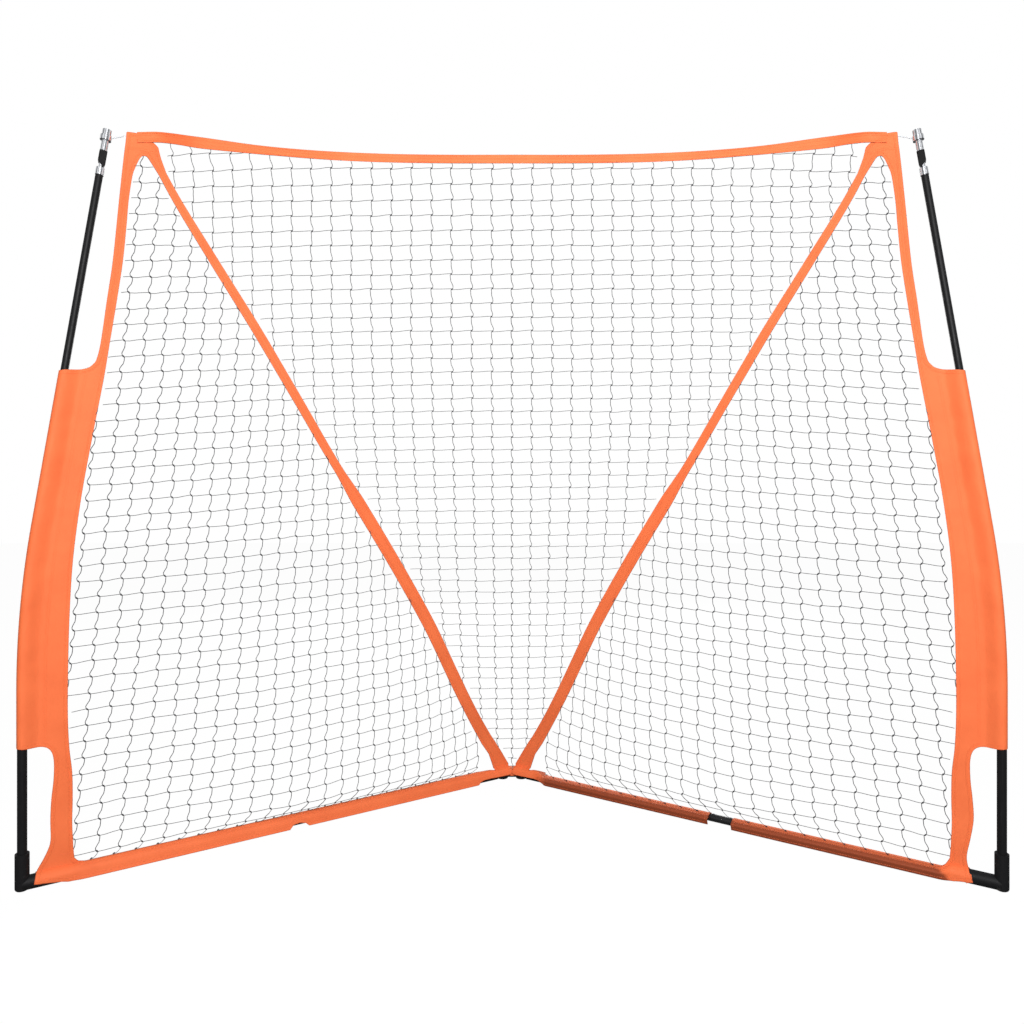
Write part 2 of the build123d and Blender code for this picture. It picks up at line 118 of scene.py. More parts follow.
def pole_s(z):
    """How far the pole's axis has moved back along the leg at height z."""
    z = np.asarray(z, float)
    rise = np.clip(z, BOW_START, BOW_END) - BOW_START
    bowed = BOW_RADIUS - np.sqrt(BOW_RADIUS ** 2 - rise ** 2)
    return bowed + np.maximum(z - BOW_END, 0) * np.tan(BOW_ANGLE)


def goal(points, side):
    """Leg-frame points in mm, as rows of s, out, z, to the goal's frame in metres."""
    points = np.asarray(points, float)
    s, out, z = points[..., 0] * MM, points[..., 1] * MM, points[..., 2] * MM
    x = CORNER[0] + s * LEG[0] - out * LEG[1]
    y = CORNER[1] + s * LEG[1] + out * LEG[0]
    return np.stack([SIDES[side] * x, y, z], axis=-1)


def outward(side):
    """Direction that points away from the goal, square to a side."""
    return goal([0, 1, 0], side) - goal([0, 0, 0], side)


def half_goal(points, side):
    """Points in mm on the goal's left half, to the goal's frame in metres on either half."""
    return np.asarray(points) * MM * (SIDES[side], 1, 1)


def smoothstep(t):
    t = np.clip(t, 0, 1)
    return t * t * (3 - 2 * t)


def unit(vectors):
    """Vectors along the last axis, brought to length 1."""
    return vectors / np.maximum(np.linalg.norm(vectors, axis=-1, keepdims=True), 1e-9)


def run_along(line):
    """Distance along a line of points, at each of them."""
    steps = np.linalg.norm(np.diff(line, axis=0), axis=1)
    return np.concatenate([[0], np.cumsum(steps)])


def points_at(line, run, at):
    """Points of a line at distances along it; run holds the distance at each of its points."""
    return np.stack([np.interp(at, run, column) for column in line.T], axis=1)


def curve(points, step=10.0):
    """A smooth line through points, as closely spaced points."""
    p = np.asarray(points, float)
    p = np.vstack([2 * p[0] - p[1], p, 2 * p[-1] - p[-2]])
    rows = []
    for a, b, c, d in zip(p[:-3], p[1:-2], p[2:-1], p[3:]):
        count = max(int(np.linalg.norm(c - b) / step), 1)
        t = (np.arange(count) / count)[:, None]
        rows.append(0.5 * (2 * b + (c - a) * t + (2 * a - 5 * b + 4 * c - d) * t ** 2
                           + (3 * b - a - 3 * c + d) * t ** 3))
    return np.vstack(rows + [p[-2:-1]])


def polygon_distance(m, q, loop):
    """Signed distance of points to a closed outline, negative inside."""
    best = np.full(m.shape, np.inf)
    inside = np.zeros(m.shape, bool)
    for (ax, ay), (bx, by) in zip(loop, np.roll(loop, -1, axis=0)):
        dx, dy = bx - ax, by - ay
        length = dx * dx + dy * dy
        if length == 0:
            continue
        t = np.clip(((m - ax) * dx + (q - ay) * dy) / length, 0, 1)
        best = np.minimum(best, (m - ax - t * dx) ** 2 + (q - ay - t * dy) ** 2)
        crosses = (ay > q) != (by > q)
        if dy != 0:
            inside ^= crosses & (m < ax + (q - ay) * dx / dy)
    return np.where(inside, -1, 1) * np.sqrt(best)


# ---------------------------------------------------------------- meshes

def make_mesh(name, points, faces, materials, attributes, sharp, slots=None):
    """A piece from points in metres; attributes are per-point values that its material reads.

    A piece of the right side is mirrored, so its faces are turned over.
    """
    if name.startswith("right"):
        faces = [face[::-1] for face in faces]
    mesh = bpy.data.meshes.new(name)
    mesh.from_pydata(np.asarray(points).tolist(), [], faces)
    mesh.validate()
    mesh.polygons.foreach_set("use_smooth", [True] * len(mesh.polygons))
    if sharp:
        mesh.set_sharp_from_angle(angle=radians(sharp))
    for key, values in attributes.items():
        values = np.asarray(values, np.float32)
        kind = "FLOAT" if values.ndim == 1 else "FLOAT_VECTOR"
        field = "value" if values.ndim == 1 else "vector"
        mesh.attributes.new(key, kind, "POINT").data.foreach_set(field, values.ravel())
    for material in materials:
        mesh.materials.append(material)
    if slots is not None:
        mesh.polygons.foreach_set("material_index", slots)
    piece = bpy.data.objects.new(name, mesh)
    bpy.context.scene.collection.objects.link(piece)
    return piece


def attach(piece, slot, *nodes):
    """Hide the CAD nodes that a piece stands in for; the slot is not used."""
    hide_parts(*nodes)


def bend_by(piece, shares):
    """Set a piece's points to a ramp of the shares, one for each point, bake its transform, then
    put the points back: the piece is not bent.
    """
    mesh = piece.data
    count = len(mesh.vertices)
    rest = np.empty(count * 3, np.float32)
    mesh.vertices.foreach_get("co", rest)
    ramp = 0.5 - np.sin(np.arcsin(1 - 2 * np.clip(shares, 0, 1)) / 3)
    line = np.zeros((count, 3), np.float32)
    line[:, 0] = ramp
    mesh.vertices.foreach_set("co", line.ravel())
    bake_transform(piece)
    mesh.vertices.foreach_set("co", rest)
    mesh.update()


def sheet_cells(distance, low, high, step):
    """Cut a grid to the region where distance(m, q) is negative.

    Returns the points (m, q), the polygons and the closed loops of the boundary.
    """
    m, q = np.meshgrid(np.arange(low[0], high[0] + step, step),
                       np.arange(low[1], high[1] + step, step), indexing="ij")
    d = distance(m, q)
    gm, gq = np.gradient(d, step)
    size = np.maximum(gm ** 2 + gq ** 2, 0.2)
    near = np.abs(d) < 0.36 * step
    m[near] -= (d * gm / size)[near]
    q[near] -= (d * gq / size)[near]
    centre = (d[:-1, :-1] + d[1:, :-1] + d[1:, 1:] + d[:-1, 1:]) / 4
    d = np.where(near, 0.0, d)
    ids = np.full(d.shape, -1)
    points, cuts, faces = [], {}, []

    def grid_point(i, j):
        if ids[i, j] < 0:
            ids[i, j] = len(points)
            points.append((m[i, j], q[i, j]))
        return int(ids[i, j])

    def cut_point(a, b):
        key = (a, b) if a < b else (b, a)
        if key not in cuts:
            a, b = key
            t = d[a] / (d[a] - d[b])
            cuts[key] = len(points)
            points.append((m[a] + (m[b] - m[a]) * t, q[a] + (q[b] - q[a]) * t))
        return cuts[key]

    lowest = np.minimum(np.minimum(d[:-1, :-1], d[1:, :-1]), np.minimum(d[1:, 1:], d[:-1, 1:]))
    for i, j in np.argwhere((lowest < 0) | ((lowest == 0) & (centre < 0))):
        corners = ((i, j), (i + 1, j), (i + 1, j + 1), (i, j + 1))
        face = []
        for a, b in zip(corners, corners[1:] + corners[:1]):
            if d[a] <= 0:
                face.append(grid_point(*a))
            if d[a] * d[b] < 0:
                face.append(cut_point(a, b))
        if len(face) > 2:
            faces.append(face)
    edges = {}
    for face in faces:
        for a, b in zip(face, face[1:] + face[:1]):
            if edges.pop((b, a), None) is None:
                edges[(a, b)] = True
    following = {}
    for a, b in edges:
        following.setdefault(a, []).append(b)
    loops = []
    while following:
        start = next(iter(following))
        loop, at = [], start
        while at in following:
            loop.append(at)
            to = following[at].pop()
            if not following[at]:
                del following[at]
            at = to
        loops.append(loop)
    return np.array(points), faces, loops


def ring_faces(rings, sides):
    """Faces of a closed tube of rings of points, with both of its ends."""
    faces = []
    for r in range(rings - 1):
        for k in range(sides):
            n = (k + 1) % sides
            faces.append((r * sides + k, r * sides + n, (r + 1) * sides + n, (r + 1) * sides + k))
    return faces + [tuple(range(sides))[::-1], tuple(range((rings - 1) * sides, rings * sides))]


def capsules(starts, ends, radius):
    """Short rounded bars between pairs of points, for the stitches."""
    starts, ends = np.asarray(starts, float), np.asarray(ends, float)
    along = ends - starts
    length = np.linalg.norm(along, axis=1, keepdims=True)
    along = along / np.maximum(length, 1e-9)
    helper = np.where(np.abs(along[:, 2:3]) < 0.8, [[0, 0, 1.0]], [[1.0, 0, 0]])
    u = unit(np.cross(along, helper))
    v = np.cross(along, u)
    ring = [(cos(a), sin(a)) for a in np.arange(6) * pi / 3]
    rows = []
    for share, size in ((0.0, 0.35), (0.18, 1.0), (0.82, 1.0), (1.0, 0.35)):
        middle = starts + along * length * share
        rows += [middle + (u * c + v * s) * radius * size for c, s in ring]
    points = np.stack(rows, axis=1).reshape(-1, 3)
    one = ring_faces(4, 6)
    faces = [[24 * i + k for k in face] for i in range(len(starts)) for face in one]
    return points, faces


def tubes(paths, normals, radius, sides=6):
    """Round strings along paths; normals give each path's reference direction.

    Returns points, faces and the strand attribute: distance along, then the turn's cos and sin.
    """
    points, faces, strand = [], [], []
    turns = np.arange(sides) * 2 * pi / sides
    base = 0
    for path, normal, r in zip(paths, normals, np.broadcast_to(radius, len(paths))):
        path = np.asarray(path, float)
        count = len(path)
        if count < 2:
            continue
        tangent = unit(np.gradient(path, axis=0))
        u = unit(np.cross(tangent, np.broadcast_to(normal, path.shape)))
        v = np.cross(tangent, u)
        run = run_along(path)
        ring = path[:, None] + r * (u[:, None] * np.cos(turns)[None, :, None]
                                    + v[:, None] * np.sin(turns)[None, :, None])
        points.append(ring.reshape(-1, 3))
        strand.append(np.stack([np.repeat(run, sides), np.tile(np.cos(turns), count),
                                np.tile(np.sin(turns), count)], axis=1))
        k = np.arange(sides)
        n = (k + 1) % sides
        for i in range(count - 1):
            low, high = base + i * sides, base + (i + 1) * sides
            faces += np.stack([low + k, high + k, high + n, low + n], axis=1).tolist()
        faces.append((base + k).tolist())
        faces.append((base + (count - 1) * sides + k[::-1]).tolist())
        base += count * sides
    return np.vstack(points), faces, np.vstack(strand)


# ---------------------------------------------------------------- materials

class Nodes:
    """Short names for building the nodes of one material or world."""

    def __init__(self, owner):
        self.owner = owner
        owner.use_nodes = True
        self.tree = owner.node_tree
        self.shader = self.tree.nodes.get("Principled BSDF")

    def add(self, kind, inputs=None, **settings):
        node = self.tree.nodes.new(kind)
        for key, value in settings.items():
            setattr(node, key, value)
        for key, value in (inputs or {}).items():
            self.put(node.inputs[key], value)
        return node

    def put(self, socket, value):
        if isinstance(value, bpy.types.NodeSocket):
            self.tree.links.new(value, socket)
        else:
            socket.default_value = value

    def math(self, operation, a, b=0.0, clamp=False):
        node = self.add("ShaderNodeMath", {0: a, 1: b}, operation=operation, use_clamp=clamp)
        return node.outputs[0]

    def attribute(self, name):
        return self.add("ShaderNodeAttribute", attribute_name=name)

    def split(self, vector):
        return self.add("ShaderNodeSeparateXYZ", {0: vector}).outputs

    def scaled(self, vector, *scale):
        return self.add("ShaderNodeVectorMath", {0: vector, 1: scale},
                        operation="MULTIPLY").outputs[0]

    def noise(self, vector, scale, detail=3.0, rough=0.5):
        node = self.add("ShaderNodeTexNoise", {"Vector": vector, "Scale": scale, "Detail": detail,
                                               "Roughness": rough})
        return node.outputs["Fac"]

    def ramp(self, value, low, high, to_low=0.0, to_high=1.0):
        node = self.add("ShaderNodeMapRange", {"Value": value, "From Min": low, "From Max": high,
                                               "To Min": to_low, "To Max": to_high})
        return node.outputs["Result"]

    def mix(self, share, a, b):
        node = self.add("ShaderNodeMix", data_type="RGBA")
        self.put(node.inputs[0], share)
        self.put(node.inputs[6], a)
        self.put(node.inputs[7], b)
        return node.outputs[2]

    def bump(self, height, strength, distance, normal=None):
        node = self.add("ShaderNodeBump", {"Height": height, "Strength": strength,
                                           "Distance": distance})
        if normal is not None:
            self.put(node.inputs["Normal"], normal)
        return node.outputs["Normal"]

    def finish(self, **inputs):
        for key, value in inputs.items():
            self.put(self.shader.inputs[key.replace("_", " ")], value)
        return self.owner

    def place(self):
        return self.add("ShaderNodeTexCoord").outputs["Object"]


def material_nodes(name):
    return Nodes(bpy.data.materials.new(name))


def rgb(r, g, b):
    """An sRGB colour, 0 to 255, as the linear colour that a shader takes."""
    linear = []
    for value in (r, g, b):
        value /= 255
        linear.append(value / 12.92 if value < 0.04045 else ((value + 0.055) / 1.055) ** 2.4)
    return (*linear, 1.0)


FABRIC_COLOUR = rgb(231, 111, 62)
# Deeper orange: random tone variation, and painted shade in the weave's valleys and along the hem's
# fold.
FABRIC_DEEP_TONE_AND_SHADE = rgb(206, 88, 44)
FABRIC_PAINTED_SHADE = rgb(112, 47, 22)       # painted shade on the rolled right base strip's inner face
THREAD_PITCH = 0.9          # of the weave, in mm


def fabric_material():
    n = material_nodes("orange_woven_polyester")
    cloth = n.attribute("cloth").outputs["Vector"]
    edge = n.attribute("edge").outputs["Fac"]
    across, along, turned = n.split(cloth)
    turn = 2 * pi / THREAD_PITCH / 2
    warp = n.math("ABSOLUTE", n.math("SINE", n.math("MULTIPLY", across, turn)))
    weft = n.math("ABSOLUTE", n.math("SINE", n.math("MULTIPLY", along, turn)))
    checks = n.add("ShaderNodeTexChecker", {"Vector": cloth, "Scale": 1 / THREAD_PITCH})
    over = checks.outputs["Fac"]
    height = n.math("ADD", n.math("MULTIPLY", warp, over),
                    n.math("MULTIPLY", weft, n.math("SUBTRACT", 1.0, over)))
    slow = n.noise(cloth, 0.012, 4.0)
    fine = n.noise(cloth, 0.35, 2.0)
    drape = n.noise(n.scaled(cloth, 0.03, 0.012, 1.0), 1.0, 2.0)
    fold = n.math("MULTIPLY", n.ramp(edge, HEM - 0.4, HEM + 0.5, 1.0, 0.0),
                  n.ramp(edge, 0.0, 0.8, 0.3, 1.0))
    valley = n.math("ABSOLUTE", n.math("SUBTRACT", edge, STITCH_INSET))
    valley = n.ramp(valley, 0.0, 1.3, 0.0, 1.0)
    seam = n.math("ADD", n.math("MULTIPLY", fold, 0.55), n.math("MULTIPLY", valley, 0.3))
    relief = n.math("ADD", seam, n.math("MULTIPLY", drape, 0.9))
    normal = n.bump(relief, 0.8, 0.9 * MM)
    normal = n.bump(height, 0.35, 0.16 * MM, normal)
    colour = n.mix(n.ramp(slow, 0.35, 0.7, 0.0, 0.35), FABRIC_COLOUR, FABRIC_DEEP_TONE_AND_SHADE)
    # Painted shade in the weave's valleys, darker where the threads lie low.
    colour = n.mix(n.ramp(height, 0.55, 0.0, 0.0, 0.35), colour, FABRIC_DEEP_TONE_AND_SHADE)
    # Painted shade along the fabric's edges.
    colour = n.mix(n.ramp(edge, 1.6, 0.2, 0.0, 0.75), colour, rgb(165, 70, 38))
    # Painted shade along the hem's fold line.
    line = n.ramp(n.math("ABSOLUTE", n.math("SUBTRACT", edge, HEM)), 0.0, 0.7, 0.45, 0.0)
    colour = n.mix(line, colour, FABRIC_DEEP_TONE_AND_SHADE)
    # Painted shade: the third part of the cloth attribute darkens the rolled right base strip's
    # inner face.
    colour = n.mix(n.math("MULTIPLY", turned, 0.85), colour, FABRIC_PAINTED_SHADE)
    return n.finish(Base_Color=colour, Normal=normal, Roughness=n.ramp(fine, 0.3, 0.7, 0.62, 0.8),
                    Specular_IOR_Level=0.3, Sheen_Weight=0.22, Sheen_Roughness=0.4,
                    Sheen_Tint=rgb(255, 190, 150))


def thread_material():
    n = material_nodes("sewing_thread")
    place = n.place()
    twist = n.noise(place, 2500.0, 2.0)
    colour = n.mix(twist, rgb(236, 110, 52), rgb(214, 86, 36))
    return n.finish(Base_Color=colour, Roughness=0.55, Sheen_Weight=0.1,
                    Normal=n.bump(twist, 0.4, 0.2 * MM))


def twine_material():
    n = material_nodes("twisted_net_twine")
    run, c, s = n.split(n.attribute("strand").outputs["Vector"])
    phase = n.math("MULTIPLY", run, 2 * pi / 2.6)
    twist = n.math("ADD", n.math("MULTIPLY", n.math("SINE", phase), c),
                   n.math("MULTIPLY", n.math("COSINE", phase), s))
    fuzz = n.noise(n.place(), 1800.0, 3.0)
    tone = n.noise(n.place(), 9.0, 2.0)
    # Painted shade in the grooves between the twine's plies, lighter on their crests.
    colour = n.mix(n.ramp(twist, -1.0, 1.0, 0.0, 0.5), rgb(40, 41, 44), rgb(74, 76, 80))
    colour = n.mix(n.ramp(tone, 0.35, 0.7, 0.0, 0.4), colour, rgb(62, 64, 66))
    height = n.math("ADD", n.math("MULTIPLY", twist, 0.5), n.math("MULTIPLY", fuzz, 0.4))
    return n.finish(Base_Color=colour, Roughness=0.62, Specular_IOR_Level=0.25, Sheen_Weight=0.15,
                    Normal=n.bump(height, 0.7, 0.35 * MM))


def pole_material():
    n = material_nodes("satin_fibreglass")
    place = n.place()
    grain = n.noise(n.scaled(place, 900.0, 900.0, 12.0), 1.0, 4.0, 0.65)
    marks = n.noise(place, 35.0, 5.0, 0.7)
    colour = n.mix(n.ramp(grain, 0.45, 0.8, 0.0, 0.5), rgb(19, 19, 20), rgb(32, 32, 34))
    colour = n.mix(n.ramp(marks, 0.62, 0.78, 0.0, 0.2), colour, rgb(54, 54, 56))
    rough = n.ramp(n.math("ADD", grain, marks), 0.7, 1.3, 0.38, 0.55)
    return n.finish(Base_Color=colour, Roughness=rough, Specular_IOR_Level=0.12,
                    Normal=n.bump(grain, 0.25, 0.2 * MM))


def boot_material(name, dark, light):
    n = material_nodes(name)
    place = n.place()
    _, _, z = n.split(place)
    grain = n.noise(place, 900.0, 3.0, 0.6)
    scuff = n.noise(place, 60.0, 6.0, 0.75)
    low = n.ramp(z, 0.0, 0.03, 1.0, 0.25)
    worn = n.math("MULTIPLY", n.ramp(scuff, 0.58, 0.72), low, clamp=True)
    colour = n.mix(n.ramp(grain, 0.3, 0.7, 0.0, 0.6), rgb(dark, dark, dark + 1),
                   rgb(light, light, light + 1))
    colour = n.mix(n.math("MULTIPLY", worn, 0.5), colour, rgb(92, 90, 88))
    return n.finish(Base_Color=colour, Roughness=n.ramp(grain, 0.3, 0.7, 0.45, 0.62),
                    Specular_IOR_Level=0.1, Normal=n.bump(grain, 0.35, 0.25 * MM))


def tube_material():
    n = material_nodes("black_powder_coat")
    place = n.place()
    orange_peel = n.noise(place, 420.0, 2.0)
    chips = n.noise(place, 140.0, 6.0, 0.8)
    colour = n.mix(n.ramp(chips, 0.72, 0.76), rgb(22, 22, 23), rgb(120, 120, 122))
    return n.finish(Base_Color=colour, Roughness=0.28, Specular_IOR_Level=0.35,
                    Coat_Weight=0.15, Coat_Roughness=0.15,
                    Normal=n.bump(orange_peel, 0.2, 0.15 * MM))


def steel_material():
    n = material_nodes("bright_zinc_steel")
    place = n.place()
    lathe = n.noise(n.scaled(place, 30.0, 30.0, 2600.0), 1.0, 3.0)
    cloudy = n.noise(place, 160.0, 4.0)
    colour = n.mix(n.ramp(cloudy, 0.35, 0.7), rgb(226, 228, 232), rgb(196, 198, 202))
    return n.finish(Base_Color=colour, Metallic=1.0, Roughness=n.ramp(lathe, 0.3, 0.7, 0.12, 0.24),
                    Normal=n.bump(lathe, 0.12, 0.05 * MM))


def cord_material():
    n = material_nodes("pale_braided_cord")
    place = n.place()
    braid = n.add("ShaderNodeTexVoronoi", {"Vector": place, "Scale": 1400.0}).outputs["Distance"]
    colour = n.mix(n.ramp(braid, 0.0, 0.8), rgb(236, 238, 240), rgb(196, 200, 205))
    return n.finish(Base_Color=colour, Roughness=0.4, Transmission_Weight=0.25,
                    Normal=n.bump(braid, 0.4, 0.15 * MM))


FABRIC = fabric_material()
THREAD = thread_material()
TWINE = twine_material()
FINISHES = {
    "pole_fibreglass": pole_material(),
    "boot_plastic": boot_material("moulded_black_nylon", 18, 30),
    "tube_black": tube_material(),
    "bright_steel": steel_material(),
    "clear_cord": cord_material(),
}
CLAMP = boot_material("soft_black_clamp", 6, 11)

# ---------------------------------------------------------------- outline of a side's fabric
# Points are (s, z). Over the sleeve and the base they are measured along the fabric.

DIAGONAL = curve([(282, 1737), (298.5, 1703), (359, 1600), (545, 1311), (737, 995), (881, 766),
                  (1026, 521), (1156, 263), (1232, 128), (1255, 90)], 20)
DIAGONAL_WIDTHS = ((1700, 19), (1500, 23), (1300, 25), (960, 24), (880, 36), (400, 37),
                   (200, 37), (90, 40))
NET_END = [(1240, 82), (1251, 52), (1259, 28)]          # the strip's foot, on the side net
BACK_END = [(1262, 119), (1285, 83), (1311, 40)]    # and on the back net


def diagonal_edge(sign):
    """One edge of the diagonal strip, from the top down; sign 1 is the edge on the back net."""
    along = unit(np.gradient(DIAGONAL, axis=0))
    heights, widths = np.array(DIAGONAL_WIDTHS[::-1], float).T
    half = np.interp(DIAGONAL[:, 1], heights, widths)[:, None] / 2
    return DIAGONAL + sign * half * np.stack([-along[:, 1], along[:, 0]], axis=1)


NET_EDGE = np.vstack([diagonal_edge(-1)[:-2], NET_END])
BACK_EDGE = np.vstack([diagonal_edge(1)[:-2], BACK_END])
POST_INNER = curve([(103, 78), (101, 130), (102, 190), (101, 250), (95, 310), (92, 380), (92, 470),
                    (95, 611), (102.5, 752), (119, 894), (142, 1037), (167, 1182), (181, 1277),
                    (196, 1378), (209, 1473), (217, 1560), (222, 1625), (230, 1685), (235.5, 1704),
                    (241, 1719), (246, 1731), (253, 1740), (262, 1740), (273, 1725)], 8)
FOOT_OUTER = {
    "left": [(23, 12.5), (24.5, 19), (30, 38), (41, 58), (51, 79), (56.5, 101)],
    "right": [(56.5, 9), (63, 22), (67.6, 37.5), (70, 56), (67.6, 77), (63, 99.5)],
}
LOW_OUTER = {side: curve(foot + [(56, 148), (58, 194), (62.5, 240), (63, 284), (57, 309), (42, 321),
                                 (12, 323.5), (-SLEEVE_HALF_TURN, 327)], 6)
             for side, foot in FOOT_OUTER.items()}
SLEEVE_OUTER = [(pole_s(z) - SLEEVE_HALF_TURN, z) for z in np.arange(360, SLEEVE_Z[1], 40)]
SLEEVE_TOP = curve([(pole_s(1198) - SLEEVE_HALF_TURN, 1198), (98, 1201.5), (120, 1204),
                    (138, 1211), (148, 1222), (154, 1238), (161.5, 1277), (174, 1375),
                    (187, 1473), (200.5, 1621), (210, 1721), (215, 1766), (217, 1790.5)], 8)
SEAM = curve([(217, 1790.5), (232, 1792), (245, 1791), (262, 1783), (280, 1775.5), (288, 1768),
              (291, 1756), (294.5, 1742)], 6)
REAR_FOOT = [(1311, 30), (1311, 12), (1300, 11), (1262, 11.5), (1215, 11.5), (1201, 8.5),
             (1193, 1.2)]
FOOT_EDGE = {
    "left": REAR_FOOT + [(664, 1.2), (656, 9), (640, 12.5), (622, 11), (612, 1.2), (92, 1.2),
                         (80, 4.5), (50, 9), (25, 11.5)],
    "right": REAR_FOOT + [(96, 1.2), (86, 3.4), (68, 6), (57, 7.5)],
}
GAP = (618.0, 682.0)        # right base strip is open over the plug joint


def opening_outline():
    base = [(1240, 31.5), (1200, 33.5), (900, CREST_Z), (400, CREST_Z), (128, CREST_Z),
            (113, 38), (105, 48)]
    side = NET_EDGE[(NET_EDGE[:, 1] < 1720) & (NET_EDGE[:, 1] > 20)]
    return np.vstack([POST_INNER, side, base])


def fabric_outline(side):
    back = BACK_EDGE[(BACK_EDGE[:, 1] < 1740) & (BACK_EDGE[:, 1] > 20)]
    return np.vstack([LOW_OUTER[side], SLEEVE_OUTER, SLEEVE_TOP, SEAM, back, FOOT_EDGE[side]])


OPENING = opening_outline()


def fabric_distance(side):
    outline = fabric_outline(side)

    def distance(m, q):
        d = np.maximum(polygon_distance(m, q, outline), -polygon_distance(m, q, OPENING))
        if side == "right":
            middle, half = (GAP[0] + GAP[1]) / 2, (GAP[1] - GAP[0]) / 2
            gap = np.maximum(np.abs(m - middle) - half, q - CREST_Z - 8)
            d = np.maximum(d, -gap)
        return d
    return distance


# Base strip's section over the tube: distance along the fabric, half width and height
WRAP = np.array([(1, 21.4, 1.2), (4, 20.6, 4.2), (7, 19.6, 7.2), (10, 18.7, 10.4),
                 (13, 18.0, 14.0), (16, 17.2, 18.0), (19, 16.0, 21.8), (22, 14.0, 25.4),
                 (25, 11.4, 28.6), (28, 8.2, 31.4), (31, 4.7, 33.4), (34, CLOTH, 34.8),
                 (37, CLOTH, 37.6), (45, CLOTH, 45.2), (60, CLOTH, 60)]).T
# The right strip is rolled inward: its inner face hangs over and its crest leans in
ROLLED = np.array([(1, 25.0, 1.2), (6, 26.5, 5.5), (12, 29.0, 11.5), (17, 31.0, 16.5),
                   (20, 31.0, 19.0), (23, 28.0, 21.4), (27, 22.0, 23.4), (31, 17.0, 24.6),
                   (34, 14.0, 25.0), (45, 9.0, 36.0), (60, CLOTH, 60)]).T
ROLLED_OUTER = np.array([(1, 17.0, 1.2), (8, 16.0, 8.0), (14, 13.5, 14.0), (19, 11.5, 19.0),
                         (23, 7.0, 22.6), (27, 0.0, 24.4), (31, -9.0, 25.6),
                         (34, 2 * CLOTH - 14.0, 26.4), (45, 2 * CLOTH - 9.0, 37.0),
                         (60, CLOTH, 60)]).T


ROLL_FROM, ROLL_TO = (97, 30), (1236, 40)   # ends of the roll along the leg, and their fades
SLIM_TO = (128, 36)         # the wrap is slim up to here, by the foot, and its fade
SLIM_HALF = 17.2            # half width of the slim wrap
WRAP_TOP = 60.0             # above this height the sheet is flat
SLEEVE_REACH = (290, 1215)  # heights between which the sheet follows the pole


def roll_share(m, side):
    """How far the right base strip is rolled in, along the leg."""
    begin = smoothstep((m - ROLL_FROM[0]) / ROLL_FROM[1])
    end = smoothstep((ROLL_TO[0] - m) / ROLL_TO[1])
    return begin * end * (side == "right")


def surface(m, q, face, side, lift=0.0):
    """A point of the fabric, as s, out, z; face is -1 on the goal's inside and 1 outside."""
    if np.any(lift):
        step = 0.4
        at = surface(m, q, face, side)
        dm = surface(m + step, q, face, side) - surface(m - step, q, face, side)
        dq = surface(m, q + step, face, side) - surface(m, q - step, face, side)
        normal = unit(np.cross(dm, dq))
        normal *= np.sign(normal[..., 1:2] * face + 1e-9)
        return at + normal * np.asarray(lift)[..., None]
    low = np.minimum(q, WRAP_TOP)
    rolled = roll_share(m, side)
    turned = ROLLED if face < 0 else ROLLED_OUTER
    slim = smoothstep((SLIM_TO[0] - m) / SLIM_TO[1])
    wrap = np.interp(low, *WRAP[:2])
    wrap = wrap + (np.minimum(wrap, SLIM_HALF) - wrap) * slim
    w = wrap * (1 - rolled) + np.interp(low, *turned[:2]) * rolled
    z = np.interp(low, WRAP[0], WRAP[2]) * (1 - rolled)
    z = z + np.interp(low, turned[0], turned[2]) * rolled
    w = w + 2.5 * smoothstep((m - 1235) / 40) * (q < 30)
    z = np.where(q > WRAP_TOP, q, z)
    s = np.array(m, float)
    centre = pole_s(q)
    x = m - centre
    sleeved = (q > SLEEVE_REACH[0]) & (q < SLEEVE_REACH[1]) & (x < SLEEVE_TAPER)
    angle = np.clip(-x / SLEEVE_RADIUS, 0, pi / 2)
    s = np.where(sleeved & (x < 0), centre - SLEEVE_RADIUS * np.sin(angle), s)
    round_side = SLEEVE_RADIUS * np.cos(angle)
    taper = SLEEVE_RADIUS * (1 - smoothstep(x / SLEEVE_TAPER)) ** 1.15
    crease = 0.35 * np.sin(q / 11.0 + 2 * np.sin(q / 83.0)) * smoothstep(x / 10)
    w = np.where(sleeved, np.maximum(np.where(x < 0, round_side, taper + crease), CLOTH * 0.5), w)
    w = np.where(sleeved & (x > 0), np.maximum(w, CLOTH), w)
    wave = 1.3 * np.sin(q / 143.0 + m / 89.0) + 0.7 * np.sin(q / 61.0 - m / 47.0)
    loose = smoothstep((q - WRAP_TOP) / 120) * smoothstep((1700 - q) / 120)
    loose = loose * np.where(sleeved, smoothstep((x - 15) / 30), 1.0)
    middle = wave * loose
    hub = smoothstep((m - HUB_ZONE) / 8.0) * (q < CREST_Z)
    out = face * w
    if face > 0:
        out = out * (1 - hub) + (2 * CLOTH - w) * hub
    return np.stack([s, out + middle, z], axis=-1)


def opens(m, q):
    """True where the fabric's edge is an open mouth round a pole, a tube or an arm."""
    x = m - pole_s(q)
    sleeve = (np.abs(x + 0.5) < 30) & ((np.abs(q - 1200) < 12) | (np.abs(q - 325) < 9))
    base = (q < 30) & (m < HUB_ZONE - 14)
    return sleeve | base


def pocket_rows(start, inward, side):
    """Lining of an open mouth: its edge points carried inward, along one face then the other."""
    rows = []
    for depth in np.linspace(0, POCKET_DEPTH, POCKET_STEPS):
        at = start + inward * depth
        for face in (-1.0, 1.0):
            inner = surface(at[:, 0], at[:, 1], face, side, np.full(len(at), -LINING_INSET))
            inner[:, 1] = face * np.maximum(face * inner[:, 1], LINING_GAP)
            rows.append((inner, at))
    return rows


